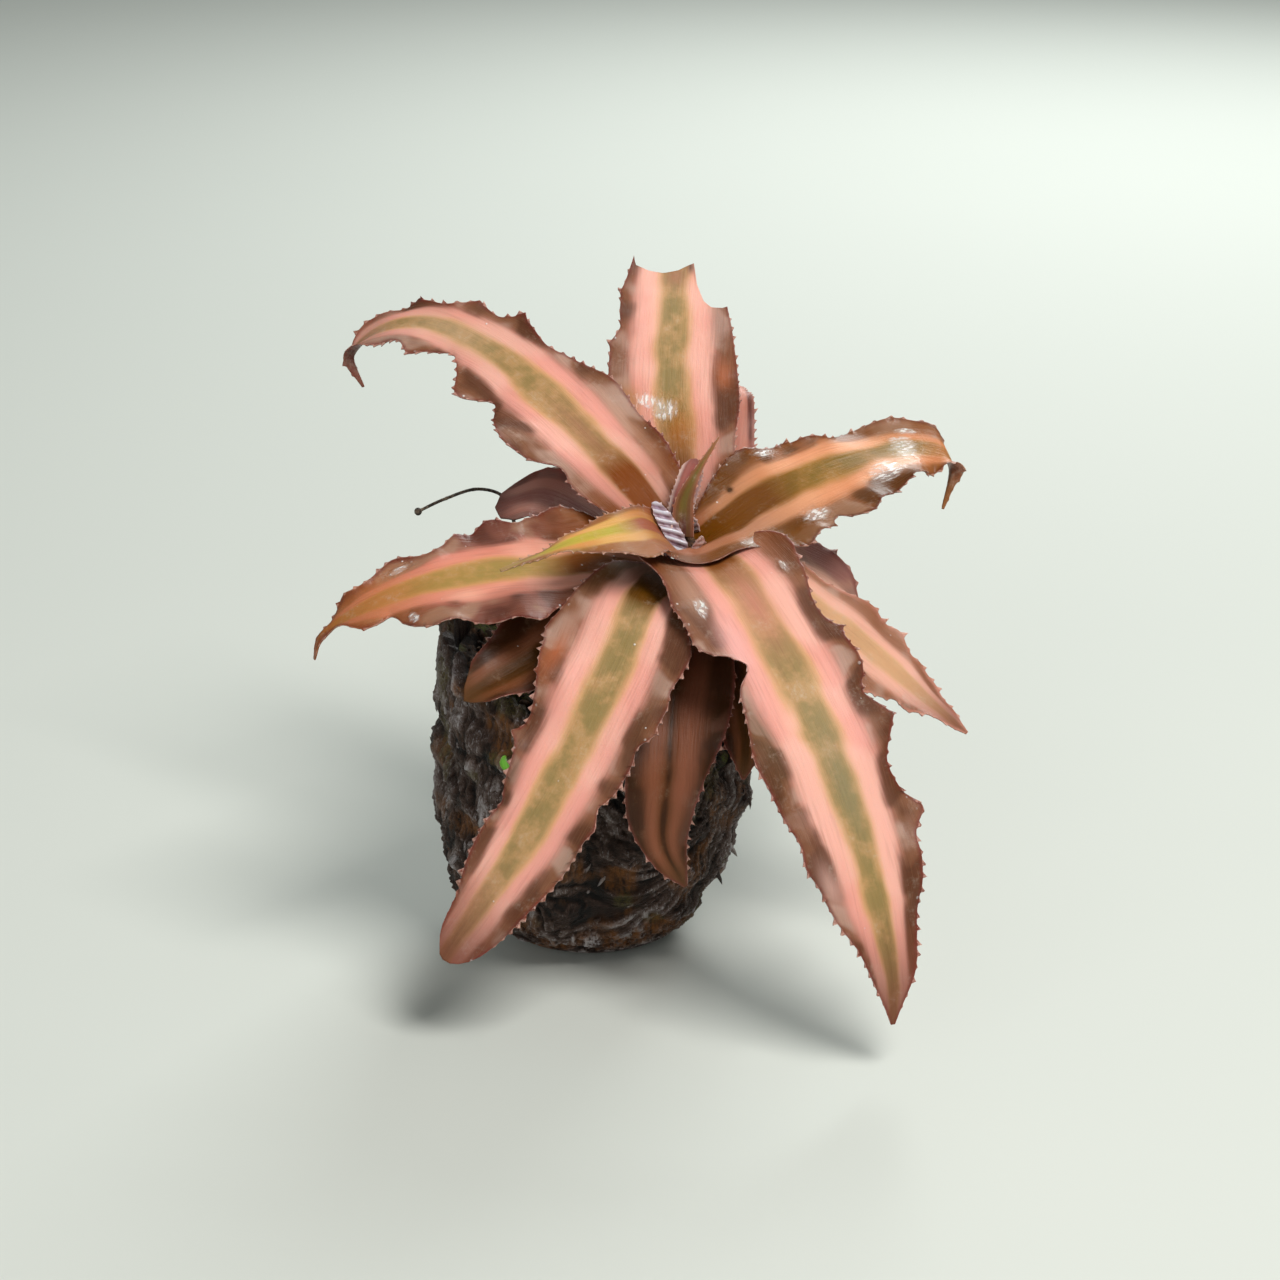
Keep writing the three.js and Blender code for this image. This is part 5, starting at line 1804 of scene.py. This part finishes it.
    def _crust(self, points: Array, angle: Array) -> Array:
        """Height of the fine relief, from 0 to 1: plates, scales, fibres and grit, less the cracks.

        Near the foot, where the skin lies almost flat, even lumps take the place of the drawn-out ones.

        Args:
            points: points of the plain skin.
            angle: their bearings.

        Returns:
            The height of the relief at each point.
        """
        grain = self.grain(points, angle)
        bent = grain + np.stack([noise(grain, 4.0, Seed.BARK_BENDS + axis, 2) for axis in range(3)], -1)
        fibres = ridges(bent, (1.4, 1.4, 6.0), Seed.BARK_FIBRES, 2)
        plates = noise(bent, (4.5, 4.5, 11.0), Seed.BARK_PLATES, 2)
        plates = smooth(-0.25, 0.0, plates) * 0.5 + smooth(0.15, 0.4, plates) * 0.5
        cracks = smooth(0.78, 0.98, ridges(bent, (5.0, 5.0, 12.0), Seed.BARK_CRACKS))
        scales = 0.5 * blocks(bent, (2.6, 2.6, 6.0), Seed.BARK_SCALES)
        scales = scales + 0.5 * blocks(bent, (1.5, 1.5, 3.2), Seed.BARK_SMALL_SCALES)
        grit = noise(points, 1.0, Seed.BARK_GRIT)
        drawn_out = 0.24 + 0.3 * plates + 0.22 * fibres + 0.26 * scales - 0.35 * cracks
        lumps = 0.3 + 0.5 * ridges(points, 3.0, Seed.FOOT_LUMPS, 2)
        lumps = lumps + 0.3 * blocks(points + 1.5 * grit[..., None], 2.2, Seed.FOOT_SCALES)
        foot = 1 - smooth(4, 16, points[..., 2])
        return np.clip(drawn_out * (1 - foot) + lumps * foot + 0.1 * grit, 0, 1)

    def _growth(self, points: Array) -> tuple[Array, Array]:
        """Works out the growths: broad noise, the stain strongest on the front.

        Args:
            points: points of the bark.

        Returns:
            Shares of ochre stain and of moss.
        """
        front = smooth(-10, 20, -points[:, 1])
        stain = smooth(0.1, 0.6, noise(points, 7.0, Seed.STAIN, 2)) * (0.35 + 0.6 * front)
        moss = smooth(0.3, 0.7, noise(points, 7.0, Seed.MOSS, 2)) * 0.5
        return stain, moss

    def skin_point(self, angle: Array, z: Array) -> tuple[Array, Array]:
        """Points on the bark at bearings and heights, and the ways that they face.

        Args:
            angle: bearings in radians.
            z: heights in millimetres.

        Returns:
            Points on the ribbed form, and outward directions.
        """
        step = 0.4
        here = self.point(angle, self.form(angle, z) + self.relief(angle, z), z)
        above = self.point(angle, self.form(angle, z + step) + self.relief(angle, z + step), z + step)
        turned = angle + step / self.radius
        beside = self.point(turned, self.form(turned, z) + self.relief(turned, z), z)
        return here, unit(np.cross(beside - here, above - here))

    def splinters(self, number: int = 260) -> Piece:
        """Makes the loose flakes and thorn-like splinters that stand off the bark.

        Each is a thin pointed sliver, ridged above and keeled below, that lies along the grain and
        lifts towards its tip. A few long ones stand out at chosen places.

        Args:
            number: how many small flakes.

        Returns:
            The finished piece.
        """
        rng = np.random.default_rng(Seed.FLAKES)
        angle = rng.uniform(0, 2 * np.pi, number)
        z = self.rim(angle) * rng.uniform(0.08, 0.97, number)
        length = rng.uniform(1.4, 3.6, number)
        lift = rng.uniform(0.0, 0.22, number)
        spurs = np.array(self.spurs, float)
        angle = np.concatenate([angle, np.radians(spurs[:, 0])])
        z = np.concatenate([z, spurs[:, 1]])
        length = np.concatenate([length, spurs[:, 2] + 0.6])
        lift = np.concatenate([lift, np.full(len(spurs), 0.7)])
        place, outward = self.skin_point(angle, z)
        upright = np.array([0.0, 0.0, 1.0])
        slant = -self.slant(angle)
        beside = unit(np.cross(upright, outward))
        way = unit(np.cross(outward, beside) + beside * slant[:, None])
        way = way * np.where(rng.uniform(size=len(angle)) < 0.5, 1.0, -1.0)[:, None]
        way[number:] = unit(upright * spurs[:, 3:4] * 0.3 + way[number:] * 0.2)
        way = unit(way + outward * lift[:, None])
        side = unit(np.cross(way, outward))
        rise = np.cross(side, way)
        width = length * rng.uniform(0.2, 0.42, len(length))
        width[number:] = 0.55 * length[number:]
        high = 0.3 + 0.1 * length
        frames = np.stack([side * width[:, None], way * length[:, None], rise * high[:, None]], 1)
        points, faces = scattered(SLIVER, SLIVER_FACES, frames, place - outward * 0.5)
        level = np.repeat(rng.uniform(0.25, 0.95, len(length)), len(SLIVER))
        return piece_from("bark_splinters", points, faces, crust_values(level, *self._growth(points)))


# A pointed sliver, its tip along y: seven points on its rim, two on its ridge and one below
SLIVER = np.array([
    [-0.5, 0.0, 0.0], [0.5, 0.0, 0.0], [0.62, 0.4, 0.1], [0.3, 0.8, 0.2], [0.0, 1.0, 0.1], [-0.35, 0.75, 0.2],
    [-0.6, 0.35, 0.05], [0.05, 0.15, 0.8], [-0.05, 0.62, 0.75], [0.0, 0.45, -0.3],
])
SLIVER_FACES = [np.array([
    [0, 1, 7], [1, 2, 7], [2, 8, 7], [2, 3, 8], [3, 4, 8], [4, 5, 8], [5, 6, 8], [6, 7, 8], [6, 0, 7],
    [1, 0, 9], [2, 1, 9], [3, 2, 9], [4, 3, 9], [5, 4, 9], [6, 5, 9], [0, 6, 9],
])]

# A rough lump of bark: the corners of a bent box and a peak on top of it
LUMP = np.array([
    [-0.5, -0.5, -0.4], [0.5, -0.45, -0.5], [0.55, 0.4, -0.4], [-0.45, 0.5, -0.5],
    [-0.4, -0.45, 0.4], [0.45, -0.5, 0.3], [0.4, 0.5, 0.45], [-0.5, 0.4, 0.5], [0.1, 0.0, 0.75],
])
LUMP_FACES = [
    np.array([[0, 3, 2, 1], [0, 1, 5, 4], [1, 2, 6, 5], [2, 3, 7, 6], [3, 0, 4, 7]]),
    np.array([[4, 5, 8], [5, 6, 8], [6, 7, 8], [7, 4, 8]]),
]


def tube(path: RibCurve, radius: Array, sides: int) -> tuple[Array, list[Array], Array]:
    """Carries a circle along a curve.

    Each ring lies across the curve. Its first direction is the one before it, laid flat again on
    the new ring, so that the tube does not twist.

    Args:
        path: the middle line.
        radius: the radius at each of the rings, spaced evenly along the curve.
        sides: points to a ring.

    Returns:
        Points ring by ring and then the two end points, the faces, and outward directions.
    """
    u = np.linspace(0, 1, len(radius))
    centres, tangents = path.at(u), path.tangent(u)
    across = np.empty_like(tangents)
    guess = np.cross(tangents[0], [0.31, 0.94, 0.12])
    for k, tangent in enumerate(tangents):
        guess = unit(guess - tangent * (tangent @ guess))
        across[k] = guess
    third = np.cross(tangents, across)
    turn = bearings(sides)[None, :, None]
    outward = across[:, None] * np.cos(turn) + third[:, None] * np.sin(turn)
    rings = centres[:, None] + outward * radius[:, None, None]
    return *closed_rings(rings, [centres[0], centres[-1]]), outward


@dataclass(frozen=True)
class Trunk:
    """The short stem: straight behind the crown where leaves leave it, then curving into the mix."""

    foot: tuple[Triple, ...] = ((-6.5, 16, -48), (-5.5, 16, -39), (-3.5, 14, -30))
    straight: float = 24.0
    top: float = 1.4
    scars_apart: float = 3.2
    scar_depth: float = 0.5
    rings: int = 120
    sides: int = 72

    def curve(self) -> RibCurve:
        """The stem's middle line, foot first.

        Returns:
            The curve.
        """
        crown = np.array(ROSETTE.crown)
        low = [crown + np.array(place) for place in self.foot]
        high = [crown - ROSETTE.up * down for down in (self.straight, self.straight / 2, self.top)]
        return RibCurve(np.array(low + high))

    def girth(self, u: Array, length: float) -> Array:
        """Radius along the stem, a little under the radius on which the leaves are seated."""
        return ROSETTE.tip_radius + ROSETTE.taper * length * (1 - u) - 0.1

    def build(self) -> Piece:
        """Makes the stem, with the ring-like scars of old leaves and fine fibres.

        Each scar is a sawtooth along the stem, tilted round it.

        Returns:
            The finished piece.
        """
        curve = self.curve()
        u = np.linspace(0, 1, self.rings)
        points, faces, outward = tube(curve, self.girth(u, curve.length), self.sides)
        turn = bearings(self.sides)[None, :]
        scars = (u[:, None] * curve.length / self.scars_apart + turn / (2 * np.pi)) % 1.0
        body = points[:-2].reshape(self.rings, self.sides, 3)
        crust = 0.45 * scars + 0.55 * ridges(body, (0.8, 0.8, 3.0), Seed.STEM_FIBRES, 2)
        body = body - outward * (self.scar_depth * (1 - crust))[..., None]
        points = np.vstack([body.reshape(-1, 3), points[-2:]])
        level = np.append(crust.ravel(), [0.3, 0.3])
        return piece_from("stem_core", points, faces, crust_values(level, 0.2, 0.0))


@dataclass(frozen=True)
class Stalk:
    """The wiry stalk: up from the mix behind the leaves, then out to the left, a bead at its end."""

    route: tuple[Triple, ...] = (
        (-14, 18, 56), (-16, 22, 76), (-19, 31, 90), (-22, 35, 97), (-28, 35, 99), (-36, 32, 97.5),
        (-43, 29, 95),
    )
    radius: float = 0.45
    bead: float = 0.95
    joints_apart: float = 7.0
    rings: int = 260
    sides: int = 18

    def build(self) -> Piece:
        """Makes the stalk as one tube whose radius swells into the bead and closes round it.

        The bead's radius follows a half circle over its own length; faint joints ring the stalk.

        Returns:
            The finished piece.
        """
        curve = RibCurve(np.array(self.route, float))
        u = np.linspace(0, 1, self.rings)
        back = (1 - u) * curve.length
        ball = np.sqrt(np.clip(self.bead**2 - (back - self.bead) ** 2, 0, None))
        joints = 0.06 * hump((back + 2.0) % self.joints_apart, self.joints_apart / 2, 0.35)
        stem = self.radius * (0.82 + 0.18 * (1 - u)) + joints
        radius = np.where(back < self.bead, ball, np.maximum(stem, ball))
        points, faces, _ = tube(curve, np.maximum(radius, 0.02), self.sides)
        level = np.clip(0.45 + 0.5 * noise(points, (0.5, 0.5, 2.0), Seed.STALK_GRAIN), 0, 1)
        return piece_from("stalk_wire", points, faces, crust_values(level, 0.0, 0.0))


@dataclass(frozen=True)
class GrowingMix:
    """Coarse dark mix that fills the pot, sloped like its rim and heaped round the stem."""

    pot: BarkPot
    heap_at: tuple[float, float] = (16.5, 17.0)
    below_rim: float = 5.0
    heap: float = 9.0
    spread: float = 15.0
    clearance: float = 0.4
    sides: int = 240
    rows: int = 70
    low_rows: int = 14

    def surface(self, x: Array, y: Array) -> Array:
        """Height of the mix: a slope like the rim's, a bell-shaped heap and low waves.

        Args:
            x: places to the right in millimetres.
            y: places to the back.

        Returns:
            The heights.
        """
        pot = self.pot
        bell = self.heap * np.exp(-((x - self.heap_at[0]) ** 2 + (y - self.heap_at[1]) ** 2) / self.spread**2)
        slope = (-pot.rim_drop_right * x + pot.rim_rise_back * y / pot.depth_scale) / pot.radius
        waves = 0.6 * np.sin(0.55 * x + 0.3 * y) + 0.5 * np.sin(0.4 * y - 0.5 * x + 1)
        return pot.rim_middle - self.below_rim + slope + bell + waves

    def build(self) -> Piece:
        """Makes the body of the mix: crumbly on top, plain where the pot hides it.

        The top is the sloped surface plus crumbs, a sharp-crested noise of 2.5 mm cells.

        Returns:
            The finished piece.
        """
        pot = self.pot
        turn = bearings(self.sides)[None, :]
        brim_height = self._brim_height(turn)
        reach = pot.form(turn, brim_height) - pot.wall - self.clearance
        share = np.linspace(1, 0.02, self.rows)[:, None]
        flat = reach * share
        top = pot.point(np.broadcast_to(turn, flat.shape), flat, np.zeros(flat.shape))
        height = self.surface(top[..., 0], top[..., 1])
        crumbs = ridges(top, 2.5, Seed.MIX_CRUMBS, 2) * 1.3 - 0.9
        crumbs = crumbs + 0.5 * noise(top, 1.2, Seed.MIX_FINE_CRUMBS)
        top[..., 2] = height + crumbs * np.minimum(1, (1.02 - share) * 8)
        down = np.linspace(0, 1, self.low_rows)[:, None]
        low_height = pot.floor + self.clearance + (brim_height - pot.floor - self.clearance) * down
        low_angle = np.broadcast_to(turn, low_height.shape)
        low = pot.point(low_angle, pot.form(low_angle, low_height) - pot.wall - self.clearance, low_height)
        poles = [(0, 0, pot.floor + self.clearance), top[-1].mean(0)]
        points, faces = closed_rings(np.concatenate([low, top]), poles)
        level = np.clip(0.45 + 0.4 * np.concatenate([np.zeros(low.shape[:2]), crumbs]).ravel(), 0, 1)
        level = np.append(level, [0.3, 0.4])
        moss = smooth(0.1, 0.6, noise(points, 8.0, Seed.MIX_MOSS, 2))
        stain = smooth(0.0, 0.5, noise(points, 4.0, Seed.MIX_STAIN))
        return piece_from("mix_body", points, faces, crust_values(level, stain, moss))

    def _brim_height(self, turn: Array) -> Array:
        """Finds where the mix meets the pot, by four rounds of trying the radius there.

        Args:
            turn: bearings in radians.

        Returns:
            The heights.
        """
        pot = self.pot
        height = np.full_like(turn, 50.0)
        for _ in range(4):
            radius = pot.form(turn, height) - pot.wall - self.clearance
            edge = pot.point(turn, radius, height)
            height = self.surface(edge[..., 0], edge[..., 1])
        return height

    def chips(self, number: int = 520) -> Piece:
        """Makes the loose chips of bark and husk that lie on the mix.

        Each is a rough lump, stretched and turned at random and partly sunk.

        Args:
            number: how many.

        Returns:
            The finished piece.
        """
        rng = np.random.default_rng(Seed.CHIPS)
        turn = rng.uniform(0, 2 * np.pi, number)
        brim = self._brim_height(turn)
        reach = (self.pot.form(turn, brim) - self.pot.wall - 2.2) * np.sqrt(rng.uniform(0.0, 1.0, number))
        flat = self.pot.point(turn, reach, np.zeros(number))
        size = rng.uniform(0.7, 2.4, number)
        height = self.surface(flat[:, 0], flat[:, 1]) + 0.1 * size - 0.3
        place = np.stack([flat[:, 0], flat[:, 1], height], -1)
        frames = random_turns(rng, number) * (size[:, None, None] * rng.uniform(0.45, 1.3, (number, 3, 1)))
        points, faces = scattered(LUMP, LUMP_FACES, frames, place)
        level = np.repeat(rng.uniform(0.15, 0.95, number), len(LUMP))
        stain = np.repeat(rng.uniform(0.0, 1.0, number) ** 2, len(LUMP))
        return piece_from("mix_chips", points, faces, crust_values(level, stain, 0.0))


def random_turns(rng: np.random.Generator, number: int) -> Array:
    """Turns copies at random.

    Args:
        rng: source of the random numbers.
        number: how many copies.

    Returns:
        For each copy three directions, square to each other.
    """
    first = unit(rng.normal(size=(number, 3)))
    second = unit(np.cross(first, unit(rng.normal(size=(number, 3)))))
    return np.stack([first, second, np.cross(first, second)], 1)


@dataclass(frozen=True)
class Studio:
    """Plain pale floor, soft light and the camera at the photograph's viewing angle. In metres."""

    elevation_deg: float = 22.0
    distance: float = 0.7
    target: Triple = (0.010654, 0.0, 0.074193)
    lens_mm: float = 85.0
    sensor_mm: float = 36.0
    clip_end: float = 60.0
    floor_half: float = 8.0

    def camera(self) -> None:
        """Sets up the camera, looking down on its target from the front."""
        data = bpy.data.cameras.new("camera")
        data.lens = self.lens_mm
        data.sensor_width = self.sensor_mm
        data.clip_end = self.clip_end
        thing = self._add("camera", data)
        tilt = float(np.radians(self.elevation_deg))
        back = Vector((0.0, -float(np.cos(tilt)), float(np.sin(tilt)))) * self.distance
        self._aim(thing, Vector(self.target) + back)
        bpy.context.scene.camera = thing

    def floor(self) -> None:
        """Lays a wide pale floor under the pot."""
        mesh = bpy.data.meshes.new("floor")
        half = self.floor_half
        corners = [(-half, -half, 0), (half, -half, 0), (half, half, 0), (-half, half, 0)]
        mesh.from_pydata(corners, [], [(0, 1, 2, 3)])
        paint = Paint("floor")
        tone = paint.mix(paint.cloud(paint.place(), 3.0) * 0.3, "d3d8d2", "dde0da")
        mesh.materials.append(paint.finish({"Base Color": tone, "Roughness": 0.85}))
        self._add("floor", mesh)

    def lights(self) -> None:
        """Hangs large soft lights: a broad key from the upper right, a fill and a light from behind."""
        self._lamp("key", (0.45, -0.45, 1.1), 0.5, 12.0, (1.0, 0.97, 0.93))
        self._lamp("fill", (-0.55, -1.0, 0.45), 0.8, 3.0, (1.0, 0.98, 0.97))
        self._lamp("back", (0.35, 1.0, 0.7), 0.6, 8.0, (0.97, 1.0, 0.98))
        world = bpy.data.worlds.new("studio")
        world.use_nodes = True
        shade = world.node_tree.nodes["Background"]
        shade.inputs["Color"].default_value = (0.86, 0.93, 0.9, 1.0)
        shade.inputs["Strength"].default_value = 0.2
        scene = bpy.context.scene
        scene.world = world
        scene.view_settings.view_transform = "Standard"
        scene.view_settings.look = "None"

    def _lamp(self, name: str, place: Triple, size: float, power: float, tint: Triple) -> None:
        """Hangs one square area light, aimed at the target.

        Args:
            name: its name.
            place: where it hangs.
            size: the side of the square.
            power: its power in watts.
            tint: its colour.
        """
        data = bpy.data.lights.new(name, "AREA")
        data.size = size
        data.energy = power
        data.color = tint
        self._aim(self._add(name, data), Vector(place))

    def _aim(self, thing: Piece, place: Vector) -> None:
        """Places a thing and turns its -Z to the target."""
        thing.location = place
        thing.rotation_euler = (Vector(self.target) - place).to_track_quat("-Z", "Y").to_euler()

    @staticmethod
    def _add(name: str, data: bpy.types.ID) -> Piece:
        """Links a new object to the scene.

        Args:
            name: its name.
            data: what it shows.

        Returns:
            The object.
        """
        thing = bpy.data.objects.new(name, data)
        bpy.context.scene.collection.objects.link(thing)
        return thing


def dress(piece: Piece, finish: Union[BladeFinish, CrustFinish], *nodes: str) -> None:
    """Gives a piece its finish, fastens it to the root body, hides the nodes of the part that it stands for
    and logs its material slot.

    Args:
        piece: the piece.
        finish: its finish.
        nodes: the nodes of the part that it stands for.
    """
    piece.data.materials.append(finish.material())
    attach(piece, "root")
    if nodes:
        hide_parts(*nodes)
    faces = len(piece.data.polygons)
    LOG.info("%s: %d faces, slot %s, stands for %s", piece.name, faces, finish.slot.value, list(nodes))


def main() -> None:
    """Builds, dresses and fastens every piece, then sets the stage."""
    logging.basicConfig(level=logging.INFO, format="%(name)s: %(message)s")
    studio = Studio()
    studio.camera()
    studio.floor()
    studio.lights()

    for number, leaf in enumerate(LEAVES):
        stands_for = () if leaf.name in SCENE_ONLY else (leaf.name,)
        dress(leaf.build(Seed.TEETH + number), leaf.finish, *stands_for)
    for sheath in SHEATHS:
        dress(sheath.build(), sheath.finish)

    pot = BarkPot()
    dress(pot.build(), BARK, "bark_pot")
    dress(pot.splinters(), BARK)
    mix = GrowingMix(pot)
    dress(mix.build(), SOIL, "growing_mix")
    dress(mix.chips(), SOIL)
    dress(Trunk().build(), WOODY, "stem")
    dress(Stalk().build(), WIRY, "wiry_stalk")


if __name__ == "__main__":
    main()
